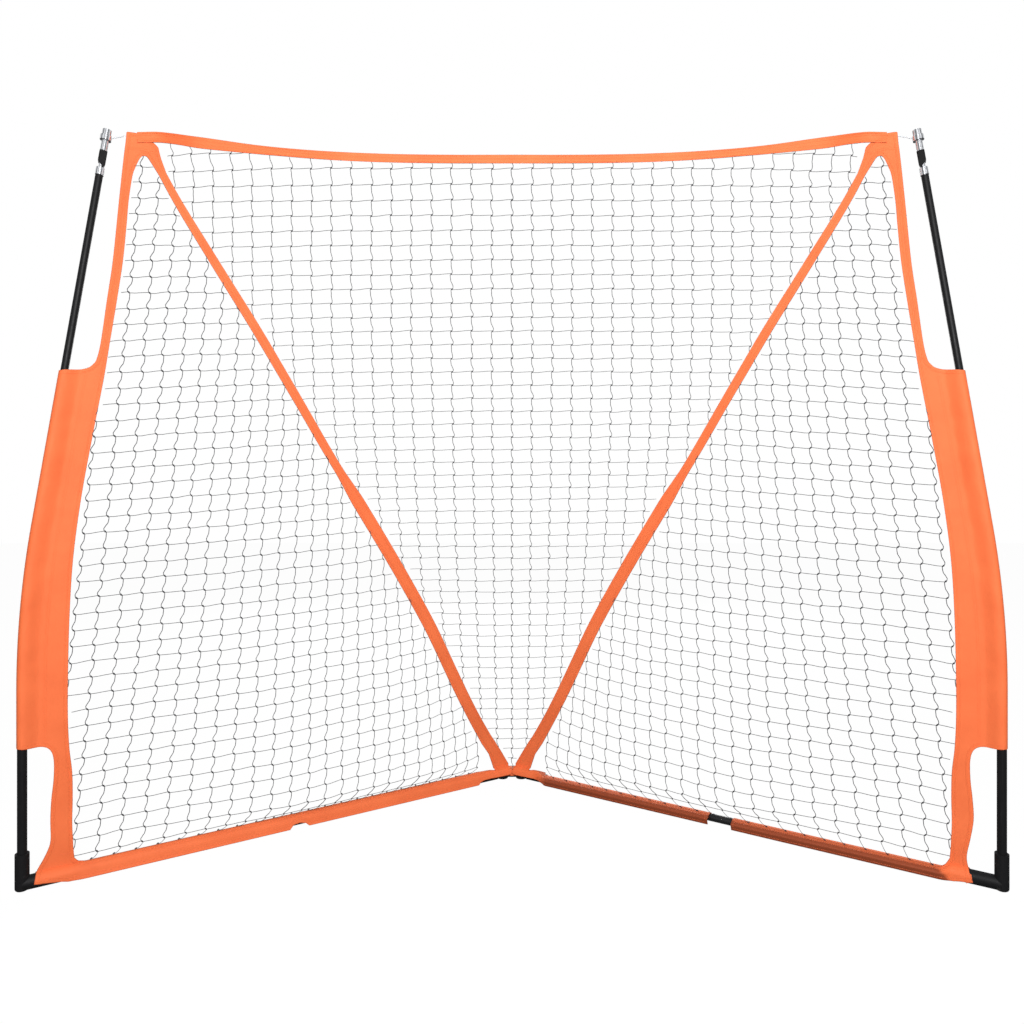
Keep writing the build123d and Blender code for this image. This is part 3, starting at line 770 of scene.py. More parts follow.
def edge_faces(loop, pocket, count):
    """Faces that close the fabric's edge along a loop; count is one face's number of points."""
    faces = []
    for a, b in zip(loop, loop[1:] + loop[:1]):
        if a in pocket and b in pocket:
            (front_a, back_a), (front_b, back_b) = pocket[a], pocket[b]
            faces.append([b, a, front_a[0], front_b[0]])
            faces.append([a + count, b + count, back_b[0], back_a[0]])
            for k in range(POCKET_STEPS - 1):
                faces.append([front_b[k], front_a[k], front_a[k + 1], front_b[k + 1]])
                faces.append([back_a[k], back_b[k], back_b[k + 1], back_a[k + 1]])
            faces.append([front_b[-1], front_a[-1], back_a[-1], back_b[-1]])
            continue
        rim = [b, a]
        if a in pocket:
            front, back = pocket[a]
            rim += [front[0], back[0]]
            faces.append(front + back[::-1])
        rim += [a + count, b + count]
        if b in pocket:
            front, back = pocket[b]
            rim += [back[0], front[0]]
            faces.append(back + front[::-1])
        faces.append(rim)
    return faces


def fabric_frame(side):
    """One side's fabric: post strip with its sleeve, corner patch, diagonal and base strip."""
    distance = fabric_distance(side)
    low, high = (-30.0, -5.0), (1326.0, 1796.0)
    plan, cells, loops = sheet_cells(distance, low, high, GRID)
    m, q = plan.T
    edge = -distance(m, q)
    count = len(plan)
    front = surface(m, q, -1.0, side)
    back = surface(m, q, 1.0, side)
    points = [front, back]
    plans = [plan, plan]
    edges = [edge, edge]
    faces = [list(face) for face in cells]
    faces += [[i + count for i in face[::-1]] for face in cells]
    gm = distance(m + 0.5, q) - distance(m - 0.5, q)
    gq = distance(m, q + 0.5) - distance(m, q - 0.5)
    inward = unit(-np.stack([gm, gq], axis=1))
    mouth = opens(m, q)
    total = 2 * count
    for loop in loops:
        chosen = np.array(loop)[mouth[loop]]
        pocket = {}
        if len(chosen) > 4:
            rows = pocket_rows(plan[chosen], inward[chosen], side)
            ids = total + np.arange(len(rows) * len(chosen)).reshape(POCKET_STEPS, 2, -1)
            pocket = dict(zip(chosen, ids.transpose(2, 1, 0).tolist()))
            total += ids.size
            points += [inner for inner, _ in rows]
            plans += [at for _, at in rows]
            edges.append(np.full(ids.size, LINING_EDGE))
        faces += edge_faces(loop, pocket, count)
    points, plans = np.vstack(points), np.vstack(plans)
    edges = np.concatenate(edges)
    stitches, stitch_faces = fabric_stitches(distance, side)
    slots = [0] * len(faces) + [1] * len(stitch_faces)
    faces += [[i + len(points) for i in face] for face in stitch_faces]
    plans = np.vstack([plans, np.zeros((len(stitches), 2))])
    edges = np.concatenate([edges, np.full(len(stitches), 20.0)])
    points = goal(np.vstack([points, stitches]), side)
    # Painted shade for the material: the goal's inside face of the rolled right base strip, below
    # the crest and behind a diagonal line from the opening's corner, kept as the cloth attribute's
    # third part.
    inner = np.zeros(len(plans))
    inner[:count] = 1.0
    low = smoothstep((33 - plans[:, 1]) / 5) * (plans[:, 1] > 0)
    crease = smoothstep((plans[:, 0] - 96 - 0.85 * plans[:, 1]) / 12)
    inner *= low * crease * roll_share(plans[:, 0] + 12, side)
    cloth = np.column_stack([plans, inner])
    piece = make_mesh(f"{side}_fabric_frame", points, faces, [FABRIC, THREAD],
                      {"cloth": cloth, "edge": edges}, FABRIC_SHARP, slots)
    goal([HUB_ZONE + 35, 0, 0], side)
    goal([PIN_S, 0, 0], side)
    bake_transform(piece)
    attach(piece, "orange_fabric", *[f"{side}_{node}" for node in (
        "post_strip", "corner_patch", "diagonal_strip", "base_strip_front", "base_strip_rear")])


def dashes(line, closed=False):
    """Start and end of each stitch along a line of (s, z) points."""
    line = np.asarray(line, float)
    if closed:
        line = np.vstack([line, line[:1]])
    run = run_along(line)
    starts = np.arange(0, run[-1] - STITCH_LENGTH, STITCH_PITCH)
    return [points_at(line, run, starts + d) for d in (0, STITCH_LENGTH)]


def fabric_stitches(distance, side):
    """Stitch rows along the hems, the sleeve's seam and the corner patch."""
    lines = []
    contour, _, loops = sheet_cells(lambda m, q: distance(m, q) + STITCH_INSET,
                                    (-30.0, -5.0), (1326.0, 1796.0), 4.0)
    for loop in loops:
        if len(loop) > 12:
            lines.append((contour[loop], True))
    heights = np.arange(SLEEVE_Z[0] + 4, SLEEVE_Z[1] - 2, 12.0)
    for gap in (0.0, 4.5):
        lines.append((np.stack([pole_s(heights) + SLEEVE_TAPER + 1 + gap, heights], axis=1), False))
    lines.append(([(214, 1752), (250, 1757), (288, 1753)], False))
    lines.append(([(214, 1747), (250, 1752), (288, 1748)], False))
    lines.append(([(76, 62), (99, 62)], False))
    starts, ends = [], []
    for line, closed in lines:
        a, b = dashes(line, closed)
        x = a[:, 0] - pole_s(a[:, 1])
        hidden = ((x < SLEEVE_TAPER - 4) & (a[:, 1] > 300) & (a[:, 1] < 1215) & closed)
        hidden |= (distance(a[:, 0], a[:, 1]) > -2.5) | (a[:, 1] < 3)
        a, b = a[~hidden], b[~hidden]
        for face in (-1.0, 1.0):
            lift = np.full(len(a), STITCH_RADIUS * 0.45)
            starts.append(surface(a[:, 0], a[:, 1], face, side, lift))
            ends.append(surface(b[:, 0], b[:, 1], face, side, lift))
    return capsules(np.vstack(starts), np.vstack(ends), STITCH_RADIUS)


for side in SIDES:
    fabric_frame(side)

# ---------------------------------------------------------------- top rail

RAIL_HEIGHT = 20.0
RAIL_BACK = 20.0
RAIL_TOP = curve([(0, 1742.4), (160, 1742.6), (325, 1744.3), (473, 1750.5), (624, 1763),
                  (773, 1783), (870, 1794.5), (922, 1794)], 12)
# Lower edge by the corner, as distances from the middle and heights
RAIL_END = ((895, 1769), (870, 1768.4), (845, 1766), (820, 1763), (768, 1755), (697, 1748),
            (623, 1741.6))
RAIL_START = 240.0          # where the rail begins on the corner patch, along the leg
RAIL_LAP = 33.0             # how far across it stays on the patch
RAIL_RISE = 0.42            # the edge's rise for each step back
RAIL_COLUMNS = 150


def leg_to_plan(s, out=0.0):
    """Leg point in the left side, as x and y in mm in the goal's frame."""
    x, y, _ = goal([s, out, 0.0], "left") / MM
    return x, y


_, CORNER_Y = leg_to_plan(217.0)
START_X, START_Y = leg_to_plan(RAIL_START, -2.4)


def rail_line(x):
    """Top edge of the rail at a distance across the mouth: y and z."""
    t = np.clip(1 - x / START_X, 0, 1)
    height = np.interp(np.abs(x), RAIL_TOP[:, 0], RAIL_TOP[:, 1])
    y = START_Y + (CORNER_Y + RAIL_BACK - START_Y) * smoothstep(t * 1.1)
    return y + rail_lap(x), height + RAIL_RISE * rail_lap(x)


def rail_lap(x):
    """How far back the rail runs on against the corner patch before it leaves it."""
    along = np.minimum(x - START_X, RAIL_LAP) * LEG[1] / LEG[0]
    return along * smoothstep((RAIL_LAP + 115 - (x - START_X)) / 115)


def rail_surface():
    """Rows of the left rail's points, from top to bottom, column by column to the middle."""
    share = np.linspace(0, 1, RAIL_COLUMNS) ** 1.25     # closer together by the corner
    top_x = START_X * (1 - share)
    top_y, top_z = rail_line(top_x)
    top = np.stack([top_x, top_y, top_z], axis=1)
    xs = np.concatenate([[START_X], [-x for x, _ in RAIL_END], np.linspace(-560, 0, 10)])
    ys, zs = rail_line(xs)
    zs = zs - RAIL_HEIGHT
    zs[1:len(RAIL_END) + 1] = [z for _, z in RAIL_END]
    zs[1:len(RAIL_END) + 1] += RAIL_RISE * rail_lap(xs[1:len(RAIL_END) + 1])
    zs[0] = 1768
    bottom = curve(np.stack([xs, ys + 3 * (1 - xs / START_X), zs], axis=1), 5)
    run = run_along(bottom)
    return top, points_at(bottom, run, share * run[-1])


def solid_sheet(grid, half):
    """A closed mesh about a grid of points, with its two faces a half thickness away."""
    rows, columns = grid.shape[:2]
    du, dv = np.gradient(grid, axis=0), np.gradient(grid, axis=1)
    normal = unit(np.cross(du, dv))
    points = np.concatenate([(grid + normal * half).reshape(-1, 3),
                             (grid - normal * half).reshape(-1, 3)])
    size = rows * columns
    faces = []
    for i in range(rows - 1):
        for j in range(columns - 1):
            a = i * columns + j
            quad = [a, a + columns, a + columns + 1, a + 1]
            faces += [quad, [k + size for k in quad[::-1]]]
    rim = [(i, 0) for i in range(rows)] + [(rows - 1, j) for j in range(1, columns)]
    rim += [(i, columns - 1) for i in range(rows - 2, -1, -1)]
    rim += [(0, j) for j in range(columns - 2, 0, -1)]
    ids = [i * columns + j for i, j in rim]
    for a, b in zip(ids, ids[1:] + ids[:1]):
        faces.append([b, a, a + size, b + size])
    return points, faces, normal


def polar_share(points, side):
    """Share of a leg's fold for each point, by its angle at the pin."""
    x = points[:, 0] * SIDES[side]
    dx, dy = PIN[0] - x, PIN[1] - points[:, 1]
    to_point = np.arctan2(dy, dx)
    to_leg = np.arctan2(LEG[1], LEG[0])
    to_middle = np.arctan2(dy, np.full(len(points), PIN[0]))
    return np.clip((to_middle - to_point) / np.maximum(to_middle - to_leg, 1e-6), 0, 1)


def top_rail(side):
    top, bottom = rail_surface()
    rows = 9
    share = np.linspace(0, 1, rows)
    grid = top[:, None] * (1 - share)[None, :, None] + bottom[:, None] * share[None, :, None]
    bow = 1.2 * np.sin(np.arange(len(top)) / 9.0)[:, None] * np.sin(share * pi)[None]
    grid[..., 1] += bow
    points, faces, normal = solid_sheet(grid, CLOTH * 0.9)
    run = run_along(grid[:, 0])
    height = np.linalg.norm(grid[:, -1] - grid[:, 0], axis=1)
    along = np.repeat(run[:, None], rows, axis=1)
    down = height[:, None] * share[None]
    edge = np.minimum(down, height[:, None] - down)
    edge = np.where(run[:, None] < 75, np.maximum(edge, 20 - 4 * down), edge)
    cloth = np.stack([along, down, np.zeros_like(down)], axis=2).reshape(-1, 3)
    starts, ends = [], []
    for inset in (0.16, 0.84):
        row = grid[4:, 0] * (1 - inset) + grid[4:, -1] * inset
        face = normal[4:, rows // 2]
        length = run_along(row)
        at = np.arange(0, length[-1] - STITCH_LENGTH, STITCH_PITCH)
        for sign in (-1, 1):
            line = row + face * sign * (CLOTH * 0.9 + STITCH_RADIUS * 0.4)
            for d, store in ((0, starts), (STITCH_LENGTH, ends)):
                store.append(points_at(line, length, at + d))
    stitches, stitch_faces = capsules(np.vstack(starts), np.vstack(ends), STITCH_RADIUS)
    slots = [0] * len(faces) + [1] * len(stitch_faces)
    faces = faces + [[i + len(points) for i in face] for face in stitch_faces]
    everything = half_goal(np.vstack([points, stitches]), side)
    cloth = np.vstack([cloth, cloth, np.zeros((len(stitches), 3))])
    edges = np.concatenate([edge.ravel(), edge.ravel(), np.full(len(stitches), 20.0)])
    piece = make_mesh(f"{side}_rail_strip", everything, faces, [FABRIC, THREAD],
                      {"cloth": cloth, "edge": edges}, FABRIC_SHARP, slots)
    bend_by(piece, polar_share(everything, side))
    attach(piece, "orange_fabric", f"{side}_top_rail")


for side in SIDES:
    top_rail(side)

# ---------------------------------------------------------------- nets

KNOT_HALF = 2.7             # half a knot's height
TWINE_SIDE, TWINE_BACK = 0.88, 0.78
SWING = 2.6                 # sideways offset of a string above and below its knot
HORIZONTAL_DIP = 0.5        # sag of a horizontal string between two knots


def knot_shape():
    """A small wrapped knot about the origin, its length along the first axis."""
    rings, sides = 7, 8
    points = []
    for i in range(rings):
        a = pi * (i + 0.5) / rings
        for j in range(sides):
            b = 2 * pi * j / sides
            r = sin(a) ** 0.8 * (1 + 0.16 * sin(2 * b + 5 * a))
            points.append((-cos(a), r * cos(b), r * sin(b)))
    return np.array(points), ring_faces(rings, sides)


KNOT_POINTS, KNOT_FACES = knot_shape()


def runs(flags):
    """Start and end of each run of True."""
    padded = np.concatenate([[0], flags.astype(int), [0]])
    change = np.flatnonzero(np.diff(padded))
    return list(zip(change[::2], change[1::2]))


def net_strings(knots, slant):
    """Strings through a grid of knots, in the net's own plane.

    knots[c, r] is (a, b) with b up, rows counted upward; slant 1 leans a knot to the right.
    Returns the vertical and the horizontal strings' points.
    """
    columns, rows = knots.shape[:2]
    strings = []
    swing = np.array([slant * SWING, 0.0])
    rise = np.array([0.0, KNOT_HALF])
    for c in range(columns):
        path = []
        for r in range(rows - 1, -1, -1):
            k = knots[c, r]
            path += [k + swing + rise, k, k - swing - rise]
            if r:
                n = knots[c, r - 1]
                a, b = k - swing - rise, n + swing + rise
                for t, sway in ((0.22, 0.02), (0.45, 0.28), (0.65, 0.68), (0.85, 1.0)):
                    x = a[0] + (b[0] - a[0]) * sway + slant * 0.5 * sin(t * 3 * pi)
                    path.append(np.array([x, a[1] + (b[1] - a[1]) * t]))
        strings.append(("v", np.array(path)))
    lean = np.array([slant * abs(slant) * 1.2, slant * 1.4])
    for r in range(rows):
        path = []
        for c in range(columns):
            k = knots[c, r]
            path += [k - lean, k + lean]
            if c < columns - 1:
                a, b = path[-1], knots[c + 1, r] - lean
                for t, sway in ((0.3, 0.16), (0.6, 0.62)):
                    dip = HORIZONTAL_DIP * sin(pi * t)
                    path.append(np.array([a[0] + (b[0] - a[0]) * t,
                                          a[1] + (b[1] - a[1]) * sway - dip]))
        strings.append(("h", np.array(path)))
    return strings


def build_net(knots, inside, place, normal, radius, slant, extra=()):
    """One net as a mesh: strings, knots and ties."""
    paths, sizes = [], []
    for kind, path in net_strings(knots, slant):
        keep = inside(path[:, 0], path[:, 1])
        for a, b in runs(keep):
            if b - a > 2:
                paths.append(path[a:b])
                sizes.append(radius * (1.0 if kind == "v" else 0.8))
    points, faces, strand = tubes([place(p) for p in paths], [normal] * len(paths), sizes)
    flat = knots.reshape(-1, 2)
    shown = flat[inside(flat[:, 0], flat[:, 1], 3.0)]
    ends = np.array([slant * SWING * 0.9, KNOT_HALF * 0.9])
    a, b = place(shown - ends), place(shown + ends)
    axis = unit(b - a)
    u = unit(np.cross(axis, np.broadcast_to(normal, axis.shape)))
    v = np.cross(axis, u)
    size = radius * rng.uniform(1.9, 2.3, len(shown))[:, None, None]
    p = KNOT_POINTS[None]
    centre = ((a + b) / 2)[:, None]
    length = rng.uniform(3.2, 3.9, len(shown))[:, None, None]
    body = centre + axis[:, None] * p[..., :1] * length + (u[:, None] * p[..., 1:2]
                                                           + v[:, None] * p[..., 2:]) * size
    base = len(points)
    knot_count = len(KNOT_POINTS)
    for i in range(len(shown)):
        start = base + i * knot_count
        faces += [[start + k for k in face] for face in KNOT_FACES]
    knot_strand = np.stack([KNOT_POINTS[:, 0] * 6, KNOT_POINTS[:, 1], KNOT_POINTS[:, 2]], axis=1)
    points = np.vstack([points, body.reshape(-1, 3)])
    strand = np.vstack([strand, np.tile(knot_strand, (len(shown), 1))])
    if extra:
        lines, tie_sizes = extra
        more, more_faces, more_strand = tubes(lines, [normal] * len(lines), tie_sizes, 5)
        faces += [[i + len(points) for i in face] for face in more_faces]
        points, strand = np.vstack([points, more]), np.vstack([strand, more_strand])
    return points, faces, strand


# Side net: rows from the ground up, columns from the post back

ROW_PITCH = 38.1
FIRST_ROW = 52.0
NET_BULGE_Z = ((0, 0), (34, 0), (60, 45), (90, 82), (280, 71), (466, 52), (660, 36), (900, 28),
               (1300, 15), (1600, 6), (1740, 0))
NET_BULGE_SHARE = ((0, 0), (0.08, 0.02), (0.2, 0.3), (0.32, 0.66), (0.42, 0.95), (0.5, 1.0),
                   (0.6, 0.92), (0.7, 0.9), (0.79, 0.85), (0.87, 0.62), (0.94, 0.3), (1, 0))


def side_bulge(s, z):
    """How far the side net hangs toward the goal's inside."""
    heights, size = np.array(NET_BULGE_Z, float).T
    share, form = np.array(NET_BULGE_SHARE, float).T
    edge = NET_EDGE[::-1]
    rear = np.interp(z, edge[:, 1], edge[:, 0])
    inner = POST_INNER[:-30]
    front = np.interp(z, inner[:, 1], inner[:, 0])
    t = (s - front) / np.maximum(rear - front, 30)
    return np.interp(z, heights, size) * np.interp(t, share, form)


def side_knots():
    rows = int((1745 - FIRST_ROW) / ROW_PITCH) + 1
    columns = range(-1, 24)
    knots = np.zeros((len(columns), rows, 2))
    for i, c in enumerate(columns):
        foot = 106 + 50 * c - 0.12 * c * c
        lean = 0.1 * (1 - foot / 1100)
        for r in range(rows):
            z0 = FIRST_ROW + ROW_PITCH * r
            slope = 0.000147 * max(z0 - 620, 0)
            s = foot + lean * (z0 - 90)
            knots[i, r] = (s, z0 + slope * (s - 105))
    knots += rng.uniform(-1.4, 1.4, knots.shape)
    return knots


SIDE_KNOTS = side_knots()
TIE_SLANT = (10.0, 26.0)    # how far the ties lean toward the corner, front and rear


def side_net(side):
    def inside(s, z, margin=-4.5):
        return (polygon_distance(s, z, OPENING) < -margin) & (z > FIRST_ROW - 15)

    def place(path):
        s, z = path[:, 0], path[:, 1]
        return np.stack([s, -side_bulge(s, z), z], axis=1)

    ties, sizes = [], []
    for foot in SIDE_KNOTS[:, 0]:
        if not inside(foot[:1], foot[1:], 3.0)[0]:
            continue
        lean = TIE_SLANT[0] + (TIE_SLANT[1] - TIE_SLANT[0]) * foot[0] / 1200
        start = place((foot - [SWING * -1, KNOT_HALF])[None])[0]
        crest = [surface(foot[:1] - lean, np.array([CREST_Z]), f, side)[0] for f in (-1.0, 1.0)]
        end = (crest[0] + crest[1]) / 2 + [0, 0, 1.0]
        t = np.linspace(0, 1, 7)[:, None]
        line = start * (1 - t) + end * t
        line[:, 2] -= 3 * np.sin(t[:, 0] * pi)
        ties.append(line)
        sizes.append(TWINE_SIDE * 0.7)
        knot = end + np.array([0, 0, 0.8])
        ties.append(np.array([knot + (-2.6, -1.2, 0), knot + (-1, -1.6, 0.9), knot + (1, 1.6, 0.9),
                              knot + (2.6, 1.2, 0)]))
        sizes.append(1.2)
    points, faces, strand = build_net(SIDE_KNOTS, inside, place, np.array([0, 1.0, 0]),
                                      TWINE_SIDE, -1, (ties, sizes))
    piece = make_mesh(f"{side}_side_netting", goal(points, side), faces, [TWINE],
                      {"strand": strand}, None)
    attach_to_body(piece, f"{side}_leg")
    outward(side)
    goal([0, 0, 0], side)
    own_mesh(piece)
    attach(piece, "net_twine", f"{side}_side_net")


for side in SIDES:
    side_net(side)

# Back net: x across the goal, b the distance up the slope from the hub

BACK_TOP = np.array([0.0, CORNER_Y + RAIL_BACK + 4.0, RAIL_TOP[0, 1] - RAIL_HEIGHT])
BACK_FOOT = np.array([0.0, leg_to_plan(MEETING_S)[1] - 12.0, 48.0])
SLOPE = np.linalg.norm(BACK_TOP - BACK_FOOT)
BACK_ROW = SLOPE / 48.7
BACK_COLUMNS, BACK_ROWS = 19, 52


def back_knots():
    """Half the back net; the middle column belongs to the left half."""
    knots = np.zeros((BACK_COLUMNS, BACK_ROWS, 2))
    for c in range(BACK_COLUMNS):
        for r in range(BACK_ROWS):
            b = BACK_ROW * (r - 0.65)
            t = 1 - b / SLOPE
            width = 49.5 + 6.5 * sin(pi * min(max(t, 0), 1)) - 4 * t
            knots[c, r] = (-c * width, b)
    jitter = rng.uniform(-1.3, 1.3, knots.shape)
    jitter[0] *= 0.3
    return knots + jitter


def back_outline():
    """The back panel's opening, left half, as x and distance up the slope."""
    z_to_b = SLOPE / (BACK_TOP[2] - BACK_FOOT[2])
    edge = BACK_EDGE[(BACK_EDGE[:, 1] < 1725)]
    x = -HALF_WIDTH + edge[:, 0] * LEG[0]
    side = np.stack([x, (edge[:, 1] - BACK_FOOT[2]) * z_to_b], axis=1)
    xs = np.linspace(side[0, 0] + 4, 60, 40)
    _, zs = rail_line(np.minimum(xs, 0))
    rail = np.stack([xs, (zs - RAIL_HEIGHT - BACK_FOOT[2]) * z_to_b], axis=1)
    rail[0, 1] -= 4
    foot = np.array([[-4.0, -24.0], [60.0, -24.0]])
    return np.vstack([rail[::-1], side, foot])


BACK_OPENING = back_outline()


def back_place(path):
    """Slope coordinates to the goal's frame, in mm, joining both diagonals and the rail."""
    x, b = path[:, 0], path[:, 1]
    t = 1 - b / SLOPE
    y = BACK_TOP[1] + (BACK_FOOT[1] - BACK_TOP[1]) * t
    z = BACK_TOP[2] + (BACK_FOOT[2] - BACK_TOP[2]) * t
    edge = BACK_EDGE[::-1]
    edge_s = np.interp(z, edge[:, 1], edge[:, 0])
    edge_x = -HALF_WIDTH + edge_s * LEG[0]
    edge_y = CORNER[1] / MM + edge_s * LEG[1]
    share = np.clip(np.abs(x) / np.maximum(-edge_x, 5), 0, 1.1) ** 2
    y = y + (edge_y - y) * share
    rail_y, rail_z = rail_line(np.minimum(x, 0))
    high = smoothstep((z - rail_z + RAIL_HEIGHT + 60) / 60) * (np.abs(x) < -edge_x * 0.97)
    y = y * (1 - high) + (rail_y + 4) * high
    return np.stack([x, y, z], axis=1)


def back_net(side):
    knots = back_knots()
    slant = SIDES[side]

    def inside(x, b, margin=-4.5):
        return (polygon_distance(x, b, BACK_OPENING) < -margin) & (x < 3.0)

    if side == "right":
        knots[0, :, 0] = 0.0
    normal = unit(np.cross(BACK_TOP - BACK_FOOT, [1.0, 0, 0]))
    points, faces, strand = build_net(knots, inside, back_place, normal, TWINE_BACK, slant)
    points = half_goal(points, side)
    piece = make_mesh(f"{side}_back_netting", points, faces, [TWINE], {"strand": strand}, None)
    bend_by(piece, polar_share(points, side))
    attach(piece, "net_twine", f"{side}_back_net")


for side in SIDES:
    back_net(side)

# ---------------------------------------------------------------- tab over the hub

def hub_tab():
    """Fabric tab that closes the two sides' ends in front of the hub and over it."""
    _, y0 = leg_to_plan(MEETING_S)
    profile = curve([(y0 - 19.5, 6.0), (y0 - 18.5, 13.0), (y0 - 17.4, 19.0), (y0 - 15.2, 24.0),
                     (y0 - 9.0, 25.4), (y0, 25.6), (y0 + 12.0, 25.6)], 2.0)
    across = np.linspace(-1, 1, 15)
    grid = np.zeros((len(across), len(profile), 3))
    width = np.interp(np.linspace(0, 1, len(profile)), (0, 0.5, 1), (12.0, 15.0, 17.0))
    for i, a in enumerate(across):
        grid[i, :, 0] = a * width
        grid[i, :, 1] = profile[:, 0] + 3.0 * a * a
        grid[i, :, 2] = profile[:, 1] * (0.93 + 0.07 * a * a)
    points, faces, _ = solid_sheet(grid, 0.9)
    run = np.linspace(0, 60, len(profile))
    down = np.broadcast_to(run[None], grid.shape[:2])
    over = np.broadcast_to(across[:, None] * 17, grid.shape[:2])
    edge = np.minimum(17 - np.abs(over), np.minimum(down, 60 - down))
    cloth = np.stack([over, down, 0 * down], axis=2).reshape(-1, 3)
    piece = make_mesh("hub_fabric_tab", points * MM, faces, [FABRIC],
                      {"cloth": np.vstack([cloth, cloth]), "edge": np.tile(edge.ravel(), 2)},
                      FABRIC_SHARP)
    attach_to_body(piece, "hub")
    attach(piece, "orange_fabric", "apex_patch")


hub_tab()

# ---------------------------------------------------------------- button springs

SPRING_TOP, SPRING_LOW = 3.4, -5.4      # its two leaves, across the leg
SPRING_ENDS = (625.0, 674.0)
SPRING_HALF = 0.3           # half the leaf's thickness
TUBE_AXIS = 12.5


def button_spring(side):
    """Folded leaf spring behind a snap button."""
    start, turn = SPRING_ENDS
    middle, reach = (SPRING_TOP + SPRING_LOW) / 2, (SPRING_TOP - SPRING_LOW) / 2
    around = [(turn + reach * cos(a), middle + reach * sin(a))
              for a in np.linspace(pi / 2, -pi / 2, 17)]
    path = curve([(start, SPRING_TOP)] + around + [(start, SPRING_LOW)], 1.5)
    heights = np.linspace(-3, 3, 5) + TUBE_AXIS
    grid = np.zeros((len(path), len(heights), 3))
    grid[..., 0], grid[..., 1] = path[:, :1], path[:, 1:]
    grid[..., 2] = heights
    points, faces, _ = solid_sheet(grid, SPRING_HALF)
    piece = make_mesh(f"{side}_leaf_spring", goal(points, side), faces,
                      [FINISHES["bright_steel"]], {}, 40.0)
    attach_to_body(piece, f"{side}_leg")
    outward(side)
    goal([start, SPRING_LOW - SPRING_HALF, TUBE_AXIS], side)
    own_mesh(piece)
    attach(piece, "bright_steel", f"{side}_button_spring")


for side in SIDES:
    button_spring(side)

# ---------------------------------------------------------------- CAD parts' finishes

SLOT_OF = {part["node"]: part["material_slot"] for part in frame["record"]["subparts"]}
for node, obj in frame["nodes"].items():
    finish = CLAMP if node.endswith("tip_clip") else FINISHES.get(SLOT_OF[node])
    if finish:
        obj.data.materials.clear()
        obj.data.materials.append(finish)

# ---------------------------------------------------------------- floor, light and camera

FLOOR_SIZE = 9.0


def floor():
    """A pale floor: the camera sees it nearly white, with only a faint contact shadow."""
    n = material_nodes("pale_studio_floor")
    mottle = n.noise(n.place(), 2.0, 2.0)
    colour = n.mix(mottle, (0.2, 0.2, 0.2, 1), (0.24, 0.24, 0.24, 1))
    n.finish(Base_Color=colour, Roughness=0.9, Specular_IOR_Level=0.1)
    seen = n.add("ShaderNodeAddShader", {
        0: n.add("ShaderNodeEmission", {"Strength": 0.98}).outputs[0],
        1: n.add("ShaderNodeBsdfDiffuse", {"Color": (0.025, 0.025, 0.025, 1)}).outputs[0]})
    camera_ray = n.add("ShaderNodeLightPath").outputs["Is Camera Ray"]
    both = n.add("ShaderNodeMixShader", {0: camera_ray, 1: n.shader.outputs[0], 2: seen.outputs[0]})
    n.put(n.tree.nodes["Material Output"].inputs["Surface"], both.outputs[0])
    bpy.ops.mesh.primitive_plane_add(size=FLOOR_SIZE * 2, location=(0, 0, -0.0005))
    plane = bpy.context.object
    plane.name = "studio_floor"
    plane.data.materials.append(n.owner)


def area_light(name, place, target, size, power):
    data = bpy.data.lights.new(name, "AREA")
    data.shape = "RECTANGLE"
    data.size, data.size_y = size
    data.energy = power
    lamp = bpy.data.objects.new(name, data)
    bpy.context.scene.collection.objects.link(lamp)
    lamp.location = place
    direction = np.array(target, float) - np.array(place, float)
    lamp.rotation_mode = "QUATERNION"
    lamp.rotation_quaternion = Vector(direction).to_track_quat("-Z", "Y")


# Share of a turn round the studio and the brightness there, on one half
FLAGS = ((0.0, 0.5), (0.03, 0.55), (0.05, 1.1), (0.11, 1.1), (0.14, 0.2), (0.2, 0.25),
         (0.26, 0.9), (0.33, 0.9), (0.4, 0.4), (0.5, 0.5))
AMBIENT = 0.1


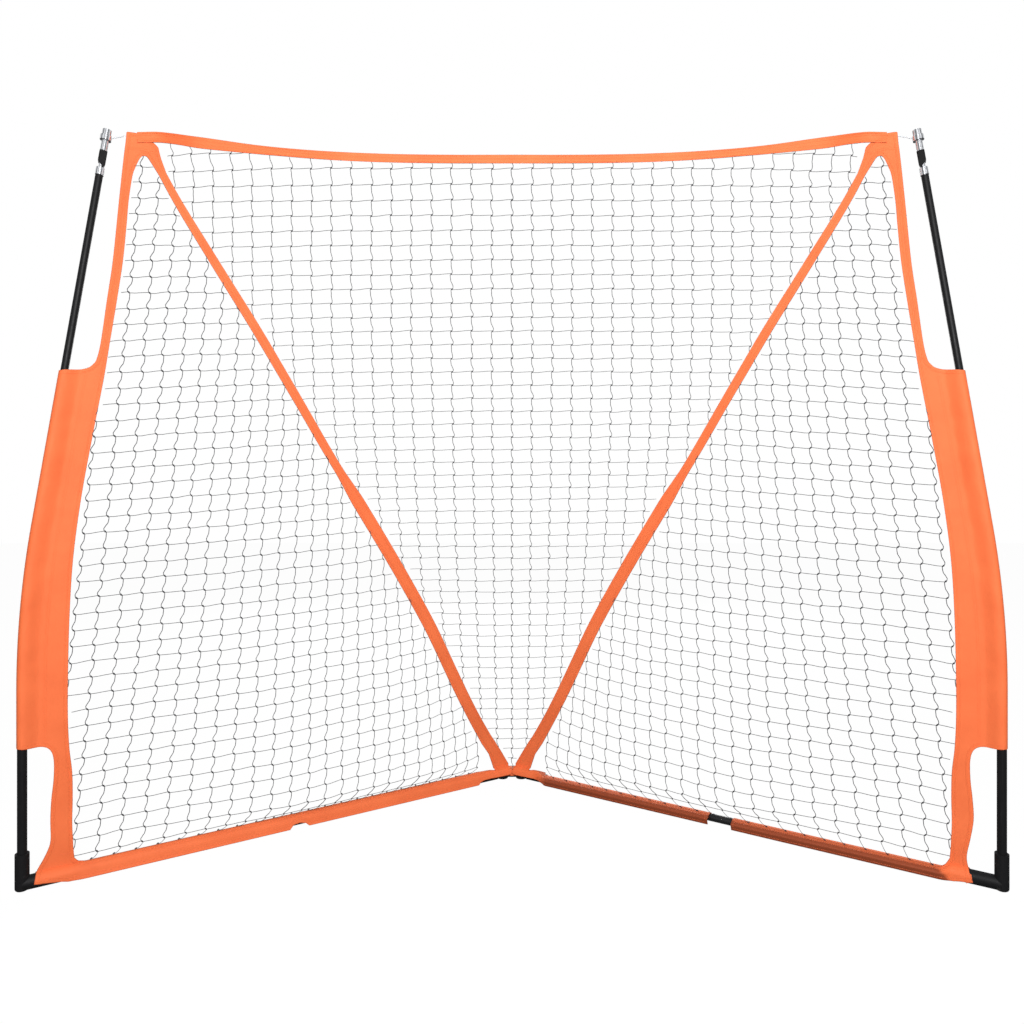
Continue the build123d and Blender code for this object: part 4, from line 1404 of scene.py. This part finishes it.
def world():
    """White surroundings; reflections also see a few dark studio flags."""
    studio = bpy.data.worlds.new("studio")
    bpy.context.scene.world = studio
    n = Nodes(studio)
    n.tree.nodes.clear()
    x, y, _ = n.split(n.add("ShaderNodeTexCoord").outputs["Generated"])
    flags = n.add("ShaderNodeValToRGB", {"Fac": n.ramp(n.math("ARCTAN2", x, y), -pi, pi)})
    flags.color_ramp.interpolation = "EASE"
    elements = flags.color_ramp.elements
    stops = FLAGS + tuple((1 - position, value) for position, value in FLAGS[-2::-1])
    for element, (position, value) in zip(elements, (stops[0], stops[-1])):
        element.position, element.color = position, (value, value, value, 1)
    for position, value in stops[1:-1]:
        elements.new(position).color = (value, value, value, 1)

    def background(colour, strength):
        return n.add("ShaderNodeBackground", {"Color": colour, "Strength": strength}).outputs[0]

    def switch(ray, otherwise, shader):
        return n.add("ShaderNodeMixShader", {0: rays[ray], 1: otherwise, 2: shader}).outputs[0]

    white = (1, 1, 1, 1)
    rays = n.add("ShaderNodeLightPath").outputs
    lit = switch("Is Glossy Ray", background(white, AMBIENT),
                 background(flags.outputs["Color"], 1.0))
    n.add("ShaderNodeOutputWorld",
          {"Surface": switch("Is Camera Ray", lit, background(white, 1.0))})


floor()
world()
area_light("key_by_the_camera", (0.15, -2.75, 1.8), (0, 0, 0.75), (1.6, 1.0), 126)
area_light("fill_above", (0.2, -1.4, 3.3), (0, 0, 0.8), (2.6, 1.2), 12)
area_light("fill_behind", (0, 3.6, 1.6), (0, 0.3, 0.7), (3.2, 1.6), 90)

LENS_SHARE = 0.77734375     # focal length as a share of the sensor's width
CAMERA_DISTANCE = 1.828     # in front of the mouth
CAMERA_HEIGHT = 0.953
HORIZON_SHIFT = -0.0361328125   # view shifted down without tilting the camera

camera_data = bpy.data.cameras.new("photo_view")
camera_data.sensor_width = 36.0
camera_data.lens = 36.0 * LENS_SHARE
camera_data.shift_y = HORIZON_SHIFT
camera = bpy.data.objects.new("photo_view", camera_data)
bpy.context.scene.collection.objects.link(camera)
camera.location = (0, CORNER[1] - CAMERA_DISTANCE, CAMERA_HEIGHT)
camera.rotation_euler = (pi / 2, 0, 0)
bpy.context.scene.camera = camera
bpy.context.scene.view_settings.view_transform = "Standard"
